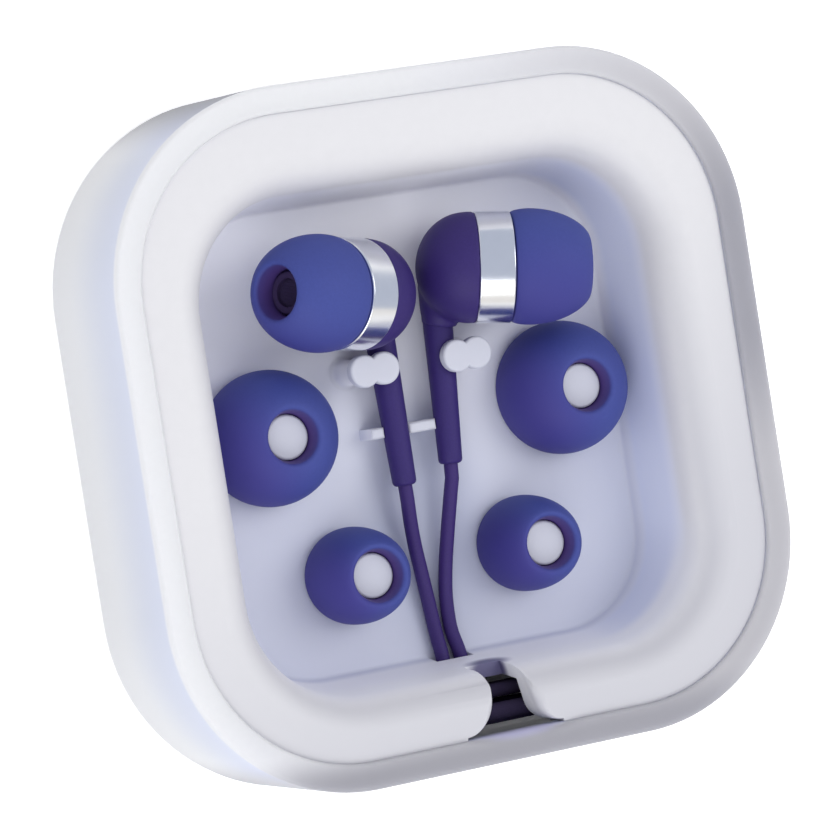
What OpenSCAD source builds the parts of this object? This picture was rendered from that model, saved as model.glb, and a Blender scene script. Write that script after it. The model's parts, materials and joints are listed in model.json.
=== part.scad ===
// In-ear earphones wound on a tray in a frosted travel case, with four spare ear tips.
// The case lies on its back: +Z looks out of the open front, +Y points to the earphones.
// Sizes are in millimetres. Everything in the tray is set out from the floor of its well.

/* [Case] */
// Width and height of the square case
case_w = 65; // [62:0.5:75]
// Depth of the case from its back to its front rim
case_depth = 17.5; // [16.5:0.5:24]
// Radius of the case's four corners, seen from the front
case_corner_r = 18.2; // [14:0.2:22]
// Thickness of the side walls
case_wall = 1.5; // [1.1:0.1:2]
// Thickness of the back wall
back_t = 1.3; // [1:0.1:2]
// Rounding of the back edge
back_round = 2; // [0.6:0.1:2.6]
// Width of the flat rim round the front
lip_w = 2.6; // [2.3:0.1:3.2]
// Depth of the rim below its front face
lip_t = 2.3; // [1.5:0.1:3]
// Rounding of the rim's outer edge
lip_round = 0.4; // [0.2:0.1:0.8]

/* [Tray] */
// Running gap between the tray's ring and the rim
tray_gap = 0.1; // [0.05:0.05:0.4]
// Depth of the well's floor below the case's front rim
well_depth = 12.2; // [11.8:0.1:13]
// Width of the ring and the wall, from the ring's outer edge to the floor of the well
ring_w = 7.7; // [7.2:0.1:8]
// Corner radius of the well at its floor
well_corner_r = 9; // [7:0.5:11]
// How far the well widens on each side from its floor to the ring
well_draft = 1.1; // [0.6:0.1:1.4]
// How far the well lies below the middle of the case
well_shift = 0.7; // [0:0.1:1]
// Thickness of the tray's walls
tray_wall = 1.3; // [1:0.1:1.5]
// Thickness of the tray's floor
floor_t = 1.2; // [0.8:0.1:1.6]
// Height of the ring's crest above the floor of the well
ring_top = 11.8; // [11.2:0.1:12]
// Thickness of the ring at its crest
ring_t = 3.2; // [2.8:0.1:3.6]
// Width of the ring's rounded shoulder towards the rim
outer_shoulder = 3; // [1.5:0.1:3.4]
// Drop of the ring's rounded shoulder towards the rim
outer_drop = 1.2; // [0.8:0.1:2]
// Width of the ring's rounded shoulder towards the well
inner_shoulder = 3.6; // [2:0.1:3.8]
// Drop of the ring's rounded shoulder towards the well
inner_drop = 4.5; // [3:0.1:5]

/* [Cord notch] */
// Middle of the notch in the ring
notch_x = 0.9; // [-2:0.1:2]
// Width of the notch between the ring's two ends
notch_w = 4.3; // [3:0.1:6]
// Radius of the ring's outer corner, left of the notch
notch_end_r = 3.4; // [3.2:0.1:4]
// Radius of the ring's outer corner, right of the notch
notch_corner_r = 2.4; // [1.5:0.1:2.8]
// Angle at which the ring's end right of the notch leans over the cords, in degrees
notch_lean = 10; // [0:1:20]
// Rounding of the top edge of the ring's two ends
notch_ease = 1.1; // [0.4:0.1:1.2]
// Height of the well's wall where the notch is, above the floor
notch_sill = 6; // [4.5:0.1:7]
// Width of the slot at the foot of the wall for the two cords
slot_w = 3.9; // [3.9:0.1:6]
// Middle of the slot
slot_x = -0.1; // [-0.2:0.1:1]
// Height of the slot above the floor
slot_h = 2.1; // [2.1:0.1:3.6]

/* [Pegs and clips] */
// Radius of the pegs that carry the spare ear tips
peg_r = 2.13; // [1.9:0.01:2.15]
// Height of the pegs above the floor
peg_h = 6.1; // [5:0.1:6.5]
// Gap between a large spare tip and the wall of the well
tip_wall_gap = 0.25; // [0.2:0.05:0.6]
// Place of the large tips' pegs along the case
large_peg_y = 0.45; // [0:0.05:1]
// Distance of the small tips' pegs from the middle of the case
small_peg_x = 9.1; // [8.6:0.1:11]
// Place of the small tips' pegs along the case
small_peg_y = -13.6; // [-15:0.1:-12.5]
// Radius of a clip's two round lobes
clip_r = 1.55; // [1.2:0.05:1.6]
// Radius of the post that carries a clip's head
clip_post_r = 1.2; // [0.9:0.05:1.3]
// Distance of a clip's post from the middle of the case
clip_x = 5.9; // [5.85:0.05:6.3]
// Distance between a clip's two lobes
clip_reach = 2.05; // [1.5:0.05:2.4]
// Place of the clips along the case
clip_y = 5.2; // [4:0.1:6.5]
// Thickness of a clip's head
clip_t = 0.9; // [0.7:0.05:1.2]
// Thickness of the cross rib that cradles the strain reliefs
rib_t = 1; // [0.8:0.1:1.4]
// Height of the cross rib above the floor
rib_h = 2.7; // [1.6:0.1:3.2]
// Place of the cross rib along the case
rib_y = -0.85; // [-2:0.05:1]
// Left end of the cross rib
rib_left = -7; // [-8:0.1:-6]

/* [Ear tips] */
// Largest radius of the ear tips on the earphones
medium_tip_r = 5.5; // [5:0.05:5.6]
// Largest radius of the large spare ear tips
large_tip_r = 6.4; // [6:0.05:6.45]
// Largest radius of the small spare ear tips
small_tip_r = 4.6; // [4.4:0.05:5]
// Height of an ear tip
tip_h = 7.5; // [7:0.1:7.8]
// Radial running gap between an ear tip's bore and its peg or nozzle
tip_gap = 0.07; // [0.02:0.01:0.1]
// Wall of an ear tip's inner sleeve
sleeve_t = 0.6; // [0.4:0.05:0.8]
// Wall of an ear tip's dome
dome_t = 0.6; // [0.4:0.05:0.8]
// Radius of an ear tip's mouth
mouth_r = 2.6; // [2.4:0.05:2.8]
// Gap between a spare ear tip and the floor it stands on
tip_seat_gap = 0.1; // [0.05:0.05:0.3]

/* [Earphones] */
// Outer radius of the polished metal ring
band_r = 5.3; // [5:0.05:5.35]
// Width of the metal ring
band_w = 3.4; // [3.2:0.1:3.8]
// Wall of the metal ring
band_t = 0.45; // [0.3:0.05:0.6]
// Length of the domed rear housing
rear_l = 5.5; // [5:0.1:5.6]
// Wall of the rear housing
rear_t = 0.8; // [0.6:0.05:1]
// Bore radius of the nozzle
nozzle_bore_r = 1.35; // [1:0.05:1.5]
// Length of the nozzle in front of the metal ring
nozzle_l = 6; // [5:0.1:6.4]
// Upper radius of the strain relief
relief_r = 1.45; // [1.2:0.01:1.48]
// Lower radius of the strain relief
relief_end_r = 1.15; // [1:0.01:1.2]
// Height of the strain reliefs' middle line above the floor
relief_z = 2.3; // [2.2:0.05:2.5]
// Radius of the driver unit
driver_r = 4.6; // [4.3:0.05:4.65]

/* [Cords and plug] */
// Diameter of each earphone's cord
leg_d = 1.35; // [1.2:0.01:1.36]
// Diameter of the cord below the splitter
main_d = 1.6; // [1.4:0.01:1.62]
// Radius of the plug's moulded body
plug_r = 2.1; // [1.9:0.05:2.15]
// Length of the plug's moulded body
plug_l = 11.5; // [9:0.1:11.6]
// Length of the plug's ribbed strain relief
plug_relief_l = 6; // [4:0.1:6.2]
// Radius of the plug's contacts
contact_r = 1.75; // [1.6:0.01:1.8]
// Length of the plug's contacts
contact_l = 14; // [12:0.1:14.2]

/* [Hidden] */

$fn = 64;
eps = 0.01;
left = -1;
right = 1;

frosted = "#dfe2ec";
milky = "#f1f0f3";
silicone = "#3f4a96";
violet = "#33255f";
cord_violet = "#2d2154";
steel = "#c9ccd4";
dark_metal = "#6c6f78";
copper = "#b87333";
film = "#c8c39a";
gold = "#d0a85a";

// Case and tray, from the driving sizes
case_half = case_w / 2;
case_c = case_half - case_corner_r;
rim_half = case_half - lip_w;
floor_z = case_depth - well_depth;
ring_half = rim_half - tray_gap;
ring_low = ring_top - ring_t;
well_half = ring_half - ring_w;
well_c = well_half - well_corner_r;
floor_round = 0.4;
inner_round = 0.9;
shoulder_z = ring_top - inner_drop;
foot_z = back_t - floor_z;
wall_slope = well_draft / (shoulder_z - floor_round);
large_peg_x = well_half - large_tip_r - tip_wall_gap;

// Rows of the wound cords, as half widths and heights above the floor
leg_row = ring_half - 3.4;
main_row = ring_half - 1.1;
plug_row = ring_half - 2.6;
leg_rise = 3.54;
leg_step = 1.77;
leg_start_z = 0.65;
leg_turn = 8 * case_c + 2 * PI * (leg_row - case_c);
splitter_l = 9;
splitter_z = 6.9;
plug_z = -1.6;
plug_top_y = 12.5;

// Where each earphone's metal ring has the middle of its rear edge, and how its axis lies
function ring_at(side) = side == left ? [-5.95, 12.42, 5.55] : [6.41, 13.17, 5.55];
rear_straight = 0.7;
function axis_turn(side) = side == left ? 172 : -8.5;
function axis_tilt(side) = side == left ? 22.5 : 19;
// Upper and lower ends of each strain relief's middle line, and how deep the housing holds it
relief_seat = 1.2;
function relief_top(side) = side == left ? [-2.85, 9.4, relief_z] : [3.45, 9.4, relief_z];
function relief_end(side) = side == left ? [-2.62, -6.1, relief_z] : [2.45, -4.85, relief_z];
// Middle and radius of a strain relief where it passes a given place along the case
function stem_at(side, y) = let (t = (y - relief_end(side)[1]) / (relief_top(side)[1] - relief_end(side)[1]))
    [relief_end(side)[0] + t * (relief_top(side)[0] - relief_end(side)[0]),
        relief_end_r + t * (relief_r - relief_end_r)];

// A quarter, or another share, of an ellipse as points
function ellipse_arc(cx, cz, a, b, from, to, n = 8) =
    [for (i = [0:n]) let (t = from + (to - from) * i / n) [cx + a * cos(t), cz + b * sin(t)]];

function unit(v) = v / norm(v);
function flip(points) = [for (i = [len(points) - 1:-1:0]) points[i]];

// Solid with a rounded square plan: the profile gives its half width at each height,
// and c is how far the centres of its corners lie from the middle
module round_solid(profile, c) {
    low = profile[0][1];
    high = profile[len(profile) - 1][1];
    side = concat([[0, low]], [for (p = profile) [p[0] - c, p[1]]], [[0, high]]);
    across = concat(profile, flip([for (p = profile) [-p[0], p[1]]]));
    rotate([90, 0, 0]) linear_extrude(height = 2 * c, center = true) polygon(across);
    for (turn = [0, 180]) rotate([0, 0, turn]) translate([0, c, 0])
        rotate([90, 0, 90]) linear_extrude(height = 2 * c, center = true) polygon(side);
    for (turn = [0:90:270]) rotate([0, 0, turn]) translate([c, c, 0])
        rotate_extrude(angle = 90) polygon(side);
}

// Turns a child that stands on the origin so that it runs from one point to another
module from_to(p, q) {
    d = q - p;
    translate(p) rotate([0, acos(d[2] / norm(d)), atan2(d[1], d[0])]) children();
}

module in_tray() translate([0, 0, floor_z]) children();

// Puts a child that is turned about Z on an earphone's axis, its front towards the ear
module on_ear(side) in_tray() translate(ring_at(side)) rotate([0, 0, axis_turn(side)])
    rotate([0, 90 - axis_tilt(side), 0]) children();

// Round tube along a list of points, its end faces square to its end runs
function tube_dir(path, i) =
    let (n = len(path) - 1)
    i == 0 ? unit(path[1] - path[0]) : i == n ? unit(path[n] - path[n - 1])
        : unit(unit(path[i + 1] - path[i]) + unit(path[i] - path[i - 1]));
function tube_ring(p, d, r, sides) =
    let (u = unit(cross([0, 0, 1], d)), v = cross(d, u))
    [for (k = [0:sides - 1]) let (a = 360 * k / sides) p + r * (cos(a) * u + sin(a) * v)];
module tube(path, d, sides = 8) {
    n = len(path);
    points = [for (i = [0:n - 1]) each tube_ring(path[i], tube_dir(path, i), d / 2, sides)];
    walls = [for (i = [0:n - 2]) for (k = [0:sides - 1]) let (a = i * sides + k,
        b = i * sides + (k + 1) % sides) each [[a, a + sides, b], [b, a + sides, b + sides]]];
    ends = [for (k = [1:sides - 2]) each [[0, k, k + 1],
        [(n - 1) * sides, (n - 1) * sides + k + 1, (n - 1) * sides + k]]];
    polyhedron(points = points, faces = concat(walls, ends));
}

// Smooth curve through points chosen by hand, with steps points to each span
function curve_point(a, b, c, d, t) =
    0.5 * (2 * b + (c - a) * t + (2 * a - 5 * b + 4 * c - d) * t * t + (3 * b - a - 3 * c + d) * t * t * t);
function curve(p, steps) =
    let (n = len(p) - 1)
    [for (i = [0:n - 1]) for (k = [0:steps - 1])
        curve_point(p[max(i - 1, 0)], p[i], p[i + 1], p[min(i + 2, n)], k / steps), p[n]];

// Rings of a turn round the tray, 24 to the turn, from the foot of the case to its left side.
// Ring k lies on corner floor(k / 6); the share is how far round the turn it is.
corner_steps = 6;
function ring_share(k, row) =
    let (arc = (row - case_c) * PI / 2, run = 2 * case_c, q = floor(k / corner_steps))
    (q * (arc + run) + run / 2 + (k - q * corner_steps) / (corner_steps - 1) * arc) / (4 * (arc + run));
function ring_point(k, row, z) =
    let (q = floor(k / corner_steps), a = -90 - 90 * q - 90 * (k - q * corner_steps) / (corner_steps - 1),
        m = -135 - 90 * q)
    [case_c * sign(cos(m)) + (row - case_c) * cos(a), case_c * sign(sin(m)) + (row - case_c) * sin(a), z];

// The left and right cords, from strain relief to splitter
leg_rings = 35;
function leg_wound(step) =
    [for (k = [0:leg_rings]) ring_point(k, leg_row, leg_start_z + step + leg_rise * ring_share(k, leg_row))];
splitter_in = [-splitter_l / 2, leg_row];
function leg_last(step) =
    let (z = splitter_z + step - leg_step / 2)
    [[splitter_in[0] - 3, splitter_in[1], z], [splitter_in[0], splitter_in[1], z]];
function relief_exit(side) =
    relief_end(side) + leg_d * unit(relief_end(side) - relief_top(side));
left_free = [[-2.46, -9.6, 1.9], [-2.2, -12, 1.5], [-1.85, -14.4, 1.2], [-1.45, -17.6, 0.95],
    [-1.1, -20.6, 0.75], [-0.8, -23.3, 0.75], [-1.2, -25.2, 0.75], [-3, -26.3, 0.7], [-6.5, -leg_row, 0.78]];
right_free = [[1.95, -8.2, 2], [1.33, -11.2, 1.65], [0.75, -14.3, 1.3], [0.42, -17.2, 1], [0.47, -20.2, 0.8],
    [0.95, -22.4, 0.78], [1.1, -23.8, 0.85], [0.5, -25.4, 1.85], [-1.6, -26.3, 2.45], [-6.5, -leg_row, 2.55]];
function run(side, free) = concat([relief_end(side)], curve(concat([relief_exit(side)], free), 2));
left_path = concat(run(left, left_free), leg_wound(0), leg_last(0));
right_path = concat(run(right, right_free), leg_wound(leg_step), leg_last(leg_step));

// The main cord, from splitter to plug, in the outer row
main_first = 12;
main_last = 113;
main_top_z = 7.7;
main_step = 2.03;
main_turns = 4;
main_stagger = 0.55;
main_lead = [[splitter_l / 2, leg_row, splitter_z], [splitter_l / 2 + main_d, leg_row, splitter_z],
    [9.2, leg_row + 0.7, 7.35], [11.8, leg_row + 1.5, 7.75]];
// Each turn lies level for more than half its length and then drops to the next
function main_ramp(turns) = floor(turns) + max(0, (turns - floor(turns) - 0.55) / 0.45);
function main_z(turns) =
    turns < main_turns - 1 ? main_top_z - main_step * main_ramp(turns)
        : let (low = main_top_z - main_step * (main_turns - 1))
            low - (main_ramp(min(turns, main_turns - eps)) - main_turns + 1) * (low - plug_z);
// Every second turn lies a little further in
function main_inner(turns) =
    let (drop = main_ramp(turns) - floor(turns))
    floor(turns) % 2 == 0 ? 1 - drop : drop;
function main_half(turns) = main_row - main_stagger * main_inner(turns)
    - (main_row - main_stagger - plug_row) * max(0, min(1, (turns - main_turns + 0.3) / 0.25));
main_wound = [for (k = [main_first:main_last])
    let (turns = ring_share(k, main_row) - ring_share(main_first, main_row))
    ring_point(k, main_half(turns), main_z(turns))];
main_path = concat(main_lead, main_wound, [[plug_row, plug_top_y, plug_z]]);

// Least distances between the rings of the wound cords, less a diameter
function spans(p) = [for (i = [0:len(p) - 2]) norm(p[i + 1] - p[i])];
function sum(v, i = 0) = i == len(v) ? 0 : v[i] + sum(v, i + 1);
function to_line(p, a, b) =
    let (d = b - a, t = max(0, min(1, ((p - a) * d) / (d * d))))
    norm(p - a - t * d);
function self_gap(p, skip, d) =
    min([for (i = [0:len(p) - 1 - skip]) for (j = [i + skip:len(p) - 2]) to_line(p[i], p[j], p[j + 1])]) - d;
function pair_gap(p, q, d) =
    min([for (i = [0:len(p) - 1]) for (j = [0:len(q) - 2]) to_line(p[i], q[j], q[j + 1])]) - d;
echo(left_cord_gap = self_gap(left_path, 8, leg_d), right_cord_gap = self_gap(right_path, 8, leg_d));
echo(main_cord_gap = self_gap(main_path, 8, main_d));
echo(cords_gap = pair_gap(left_path, right_path, leg_d),
    left_main_gap = pair_gap(left_path, main_path, (leg_d + main_d) / 2),
    right_main_gap = pair_gap(right_path, main_path, (leg_d + main_d) / 2));
echo(left_cord = sum(spans(left_path)), right_cord = sum(spans(right_path)));
echo(main_cord = sum(spans(main_path)));

// Frosted shell with a rounded back edge, a hollow inside and a flat rim round the open front
module outer_case() color(frosted) difference() {
    round_solid(concat(ellipse_arc(case_half - back_round, back_round, back_round, back_round, -90, 0, 6),
        ellipse_arc(case_half - lip_round, case_depth - lip_round, lip_round, lip_round, 0, 90, 2)), case_c);
    round_solid(concat(ellipse_arc(case_half - case_wall - inner_round, back_t + inner_round,
        inner_round, inner_round, -90, 0, 4),
        [[case_half - case_wall, case_depth - lip_t - lip_w + case_wall],
        [rim_half, case_depth - lip_t], [rim_half, case_depth + 1]]), case_c);
}

// Well void: floor fillet, drafted wall and the shoulder that rolls over into the ring
module well_void() translate([0, -well_shift, 0]) round_solid(concat(
    ellipse_arc(well_half - floor_round, floor_round, floor_round, floor_round, -90, 0, 3),
    ellipse_arc(well_half + well_draft + inner_shoulder, shoulder_z, inner_shoulder, inner_drop, 180, 90, 9),
    [[well_half + well_draft + inner_shoulder, ring_top + 2]]), well_c);

// Wall of the well, carried down as a skirt on which the tray stands
module well_wall() translate([0, -well_shift, 0]) difference() {
    foot_half = well_half + tray_wall + wall_slope * (foot_z - floor_round);
    round_solid([[foot_half, foot_z],
        [well_half + tray_wall + wall_slope * (ring_low + eps - floor_round), ring_low + eps]], well_c);
    round_solid([[foot_half - tray_wall, foot_z - 1], [foot_half - tray_wall, -floor_t]], well_c);
}

// Upright edge of the ring's ends at the notch, as half width and height, its top rounded over
function end_edge(r) = concat([[r, notch_sill - 1]],
    ellipse_arc(r - notch_ease, ring_top - notch_ease, notch_ease, notch_ease + 2 * eps, 0, 90, 6));
// One end of the ring: its outer corner is round and its side runs straight in to the well
module ring_end(side, at_x, r, lean) translate([at_x, 0.2 - ring_half + r, 0]) {
    inside = ring_w + 1;
    rotate_extrude() polygon(concat([[0, notch_sill - 1]], end_edge(r), [[0, ring_top + 2 * eps]]));
    rotate([0, 0, lean]) translate([0, inside, 0]) rotate([90, 0, 0]) linear_extrude(height = inside)
        polygon(concat([[side * 2 * inside, notch_sill - 1]], [for (p = end_edge(r)) [-side * p[0], p[1]]],
            [[side * 2 * inside, ring_top + 2 * eps]]));
}

module notch_cut() {
    left_x = notch_x - notch_w / 2 - notch_end_r;
    right_x = notch_x + notch_w / 2 + notch_corner_r;
    difference() {
        translate([left_x, -ring_half - 1, notch_sill])
            cube([right_x - left_x, ring_w + 1, ring_top + 2 - notch_sill]);
        ring_end(left, left_x, notch_end_r, 0);
        ring_end(right, right_x, notch_corner_r, notch_lean);
    }
}

module clip(side) {
    head_low = relief_z + relief_r + 0.08;
    translate([side * clip_x, clip_y, -eps]) cylinder(r = clip_post_r, h = head_low + 2 * eps);
    for (x = [clip_x, clip_x - clip_reach])
        translate([side * x, clip_y, head_low]) cylinder(r = clip_r, h = clip_t);
}

// Cross rib: low saddle under both strain reliefs, with cheeks beside them
module cross_rib() {
    gap = 0.05;
    saddle_h = relief_z - stem_at(left, rib_y)[1] - gap;
    function edge(side, out) = stem_at(side, rib_y)[0] + out * (stem_at(side, rib_y)[1] + gap);
    cheeks = [[rib_left, edge(left, -1)], [edge(left, 1), edge(right, -1)]];
    translate([rib_left, rib_y - rib_t / 2, -eps]) cube([edge(right, 1) - rib_left, rib_t, saddle_h + eps]);
    for (c = cheeks) translate([c[0], rib_y - rib_t / 2, -eps]) cube([c[1] - c[0], rib_t, rib_h + eps]);
}

module tray() color(milky) in_tray() {
    difference() {
        union() {
            well_wall();
            round_solid(concat([[ring_half, ring_low]],
                ellipse_arc(ring_half - outer_shoulder, ring_top - outer_drop, outer_shoulder, outer_drop,
                    0, 90, 7)), case_c);
        }
        well_void();
        notch_cut();
        translate([slot_x - slot_w / 2, -ring_half, 0])
            cube([slot_w, ring_half - well_half - well_shift + 1, slot_h]);
    }
    for (side = [left, right]) {
        translate([side * large_peg_x, large_peg_y, -eps]) cylinder(r = peg_r, h = peg_h + eps);
        translate([side * small_peg_x, small_peg_y, -eps]) cylinder(r = peg_r, h = peg_h + eps);
        clip(side);
    }
    cross_rib();
}

// Mushroom-shaped silicone tip: sleeve with a flared mouth and a thin dome turned back over it
module tip_shape(r) color(silicone) {
    bore = peg_r + tip_gap;
    base_r = r - 0.45;
    widest = 1.8;
    lip_r = mouth_r + 0.15;
    sleeve_r = bore + sleeve_t;
    outside = concat(
        [for (a = [0:30:60]) [base_r + (r - base_r) * sin(a), widest * (1 - cos(a))]],
        [for (a = [0:10:90]) [lip_r + (r - lip_r) * pow(cos(a), 1.35), widest + (tip_h - widest) * sin(a)]]);
    inside = [[mouth_r, tip_h - 0.05], [bore + 0.1, tip_h - 1], [bore, tip_h - 1.5], [bore, 0.5],
        [sleeve_r, 0.5]];
    hollow = [for (a = [90:-15:0]) [sleeve_r + (r - dome_t - sleeve_r) * cos(a),
        widest + (tip_h - 1.8 - widest) * sin(a)]];
    rotate_extrude() polygon(concat(outside, inside, hollow, [[base_r - dome_t + 0.1, 0]]));
}

module ear_tip(side) on_ear(side) translate([0, 0, band_w + 0.1]) tip_shape(medium_tip_r);

module spare_tip(r, x, y) in_tray() translate([x, y, tip_seat_gap]) tip_shape(r);

module front_housing(side) color(violet) on_ear(side) rotate_extrude() {
    neck = peg_r - 0.2;
    front = band_w + nozzle_l;
    polygon([[nozzle_bore_r, band_w - 0.45], [band_r - band_t - 0.03, band_w - 0.45],
        [band_r - band_t - 0.03, band_w + 0.05], [neck, band_w + 0.05], [neck, front - 1.2],
        [peg_r, front - 1], [peg_r, front - 0.3], [peg_r - 0.25, front], [nozzle_bore_r, front]]);
}

module nozzle_screen(side) color(dark_metal) on_ear(side)
    translate([0, 0, band_w + nozzle_l - 0.5]) cylinder(r = nozzle_bore_r - 0.02, h = 0.15);

// Polished ring with softened edges
module metal_ring(side) color(steel) on_ear(side) rotate_extrude()
    polygon([[band_r - band_t, 0], [band_r - 0.1, 0], [band_r, 0.1], [band_r, band_w - 0.1],
        [band_r - 0.1, band_w], [band_r - band_t, band_w]]);

// Domed rear housing with the neck that the strain relief comes out of
module rear_housing(side) color(violet) difference() {
    neck_r = 2.4;
    neck_from = relief_top(side) + [0.6, 2.2, 0.8];
    neck_to = relief_top(side) - [0, relief_seat, 0];
    neck_l = norm(neck_to - neck_from);
    union() {
        on_ear(side) rotate_extrude() polygon(concat([[0, 0], [band_r - 0.05, 0]],
            ellipse_arc(0, -rear_straight, band_r - 0.05, rear_l - rear_straight, 0, -90, 12)));
        in_tray() from_to(neck_from, neck_to) rotate_extrude() polygon(concat(
            ellipse_arc(0, 0, neck_r, neck_r, -90, 0, 8), [[relief_r + 0.2, neck_l], [0, neck_l]]));
    }
    on_ear(side) rotate_extrude() polygon(concat([[0, eps], [band_r - rear_t, eps]],
        ellipse_arc(0, -rear_straight, band_r - rear_t, rear_l - rear_straight - rear_t, 0, -90, 12)));
    in_tray() from_to(relief_top(side), relief_end(side)) cylinder(r = relief_r + 0.03, h = 2 * relief_seat);
}

module strain_relief(side) color(violet) in_tray() from_to(relief_end(side), relief_top(side)) {
    l = norm(relief_top(side) - relief_end(side));
    rotate_extrude() polygon(concat([[0, 0]], ellipse_arc(relief_end_r - 0.4, 0.4, 0.4, 0.4, -90, 0, 3),
        [[relief_r, l], [0, l]]));
}

// Moving-coil driver, from its pressed frame inwards: the film rests on the frame's ledge
film_z = 2.22;
coil_r = 2.05;
module driver_frame(side) color(dark_metal) on_ear(side) rotate_extrude()
    polygon([[2.7, 0.2], [driver_r, 0.2], [driver_r, 2.6], [driver_r - 0.3, 2.6],
        [driver_r - 0.3, film_z - 0.02], [driver_r - 0.6, film_z - 0.02],
        [driver_r - 0.6, 0.55], [2.7, 0.55]]);
module driver_yoke(side) color(steel) on_ear(side) rotate_extrude()
    polygon([[0, 0.1], [2.68, 0.1], [2.68, 1.6], [2.38, 1.6], [2.38, 0.45], [0, 0.45]]);
module driver_magnet(side) color(dark_metal) on_ear(side) translate([0, 0, 0.46]) cylinder(r = 1.7, h = 0.75);
module driver_plate(side) color(steel) on_ear(side) translate([0, 0, 1.22]) cylinder(r = 1.75, h = 0.36);
module voice_coil(side) color(copper) on_ear(side) rotate_extrude() translate([coil_r - 0.1, film_z - 1.3])
    square([0.2, 1.28]);
module diaphragm(side) color(film) on_ear(side) rotate_extrude() {
    skin = 0.12;
    surround = (driver_r - 0.5 - coil_r) / 2;
    top = concat([for (a = [0:18:90]) [(coil_r + 0.1) * sin(a), film_z + 0.35 * cos(a)]],
        [for (a = [180:-30:0]) [coil_r + 0.1 + surround + surround * cos(a), film_z + 0.25 * sin(a)]],
        [[driver_r - 0.32, film_z]]);
    polygon(concat(top, flip([for (p = top) [p[0], p[1] + skin]])));
}

// Moulded splitter: two cords in, one above the other, and one cord out
module cord_splitter() color(violet) in_tray() translate([0, leg_row, splitter_z]) rotate([0, 90, 0]) {
    thick = 2.2;
    wide = leg_step + leg_d + 0.1;
    flat_l = 0.4 * splitter_l;
    hull() {
        translate([0, 0, -splitter_l / 2]) linear_extrude(height = 0.6)
            square([wide - 0.5, thick - 0.5], center = true);
        translate([0, 0, -splitter_l / 2 + 0.8]) linear_extrude(height = flat_l)
            square([wide, thick], center = true);
        translate([0, 0, splitter_l / 2 - 0.6]) cylinder(r = main_d / 2 + 0.15, h = 0.6, $fn = 24);
    }
}

module on_plug() in_tray() translate([plug_row, plug_top_y, plug_z]) rotate([90, 0, 0]) children();

// Moulded plug body with a grip waist and a ribbed strain relief
module plug_body() color(violet) on_plug() rotate_extrude() {
    rib = plug_relief_l / 6;
    ribs = [for (i = [0:5]) let (r = main_d / 2 + 0.25 + 0.11 * i, low = rib * i)
        each [[r, low], [r, low + 0.55 * rib], [r - 0.15, low + 0.6 * rib], [r - 0.15, low + rib - eps]]];
    body = plug_relief_l + plug_l;
    collar = 0.3 * plug_l;
    polygon(concat([[0, 0]], ribs, [[plug_r - 0.5, plug_relief_l], [plug_r, plug_relief_l + 0.6],
        [plug_r, plug_relief_l + collar], [plug_r - 0.25, plug_relief_l + collar + 0.7],
        [plug_r - 0.25, body - collar - 0.7], [plug_r, body - collar], [plug_r, body - 0.5],
        [plug_r - 0.4, body], [0, body]]));
}

// Contacts of the plug, each a turned piece, with insulating rings between them
sleeve_l = 0.46 * contact_l;
pole_l = 0.2 * contact_l;
ring_l = 0.05 * contact_l;
module contact(from, l) translate([0, 0, plug_relief_l + plug_l + from]) cylinder(r = contact_r, h = l);
module plug_sleeve() color(gold) on_plug() contact(0, sleeve_l);
module plug_ring() color(gold) on_plug() contact(sleeve_l + ring_l, pole_l);
module plug_insulators() color("black") on_plug() {
    contact(sleeve_l, ring_l);
    contact(sleeve_l + ring_l + pole_l, ring_l);
}
module plug_tip() color(gold) on_plug() {
    from = sleeve_l + 2 * ring_l + pole_l;
    l = contact_l - from;
    translate([0, 0, plug_relief_l + plug_l + from]) rotate_extrude()
        polygon([[0, 0], [contact_r, 0], [contact_r - 0.55, l * 0.3], [contact_r - 0.55, l * 0.42],
            [contact_r - 0.1, l * 0.62], [contact_r - 0.35, l * 0.85], [0.4, l], [0, l]]);
}

outer_case();
tray();
ear_tip(left);  // ear_tip_left
ear_tip(right);  // ear_tip_right
spare_tip(large_tip_r, -large_peg_x, large_peg_y);  // spare_tip_large_left
spare_tip(large_tip_r, large_peg_x, large_peg_y);  // spare_tip_large_right
spare_tip(small_tip_r, -small_peg_x, small_peg_y);  // spare_tip_small_left
spare_tip(small_tip_r, small_peg_x, small_peg_y);  // spare_tip_small_right
front_housing(left);  // front_housing_left
front_housing(right);  // front_housing_right
nozzle_screen(left);  // nozzle_screen_left
nozzle_screen(right);  // nozzle_screen_right
metal_ring(left);  // metal_ring_left
metal_ring(right);  // metal_ring_right
rear_housing(left);  // rear_housing_left
rear_housing(right);  // rear_housing_right
driver_frame(left);  // driver_frame_left
driver_frame(right);  // driver_frame_right
driver_yoke(left);  // driver_yoke_left
driver_yoke(right);  // driver_yoke_right
driver_magnet(left);  // driver_magnet_left
driver_magnet(right);  // driver_magnet_right
driver_plate(left);  // driver_plate_left
driver_plate(right);  // driver_plate_right
voice_coil(left);  // voice_coil_left
voice_coil(right);  // voice_coil_right
diaphragm(left);  // diaphragm_left
diaphragm(right);  // diaphragm_right
strain_relief(left);  // strain_relief_left
strain_relief(right);  // strain_relief_right
color(cord_violet) in_tray() tube(left_path, leg_d);  // cord_left
color(cord_violet) in_tray() tube(right_path, leg_d);  // cord_right
cord_splitter();
color(cord_violet) in_tray() tube(main_path, main_d);  // cord_main
plug_body();
plug_sleeve();
plug_ring();
plug_tip();
plug_insulators();
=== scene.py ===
# %% [markdown]
# # Wired earphones on their storage tray
# A pair of in-ear earphones is stored on a white plastic tray that sits in a square frosted case. The thin
# cords leave the well through a slot in its wall and are wound round it under the tray's ring. The fixed
# frame brings in the solids that the mechanics use. Everything below either gives those solids a finish or
# stands in for them with a finer surface, and it all stays in the same place and at the same size.

# %% Load the fixed frame and keep its box
import json
import math

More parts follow.
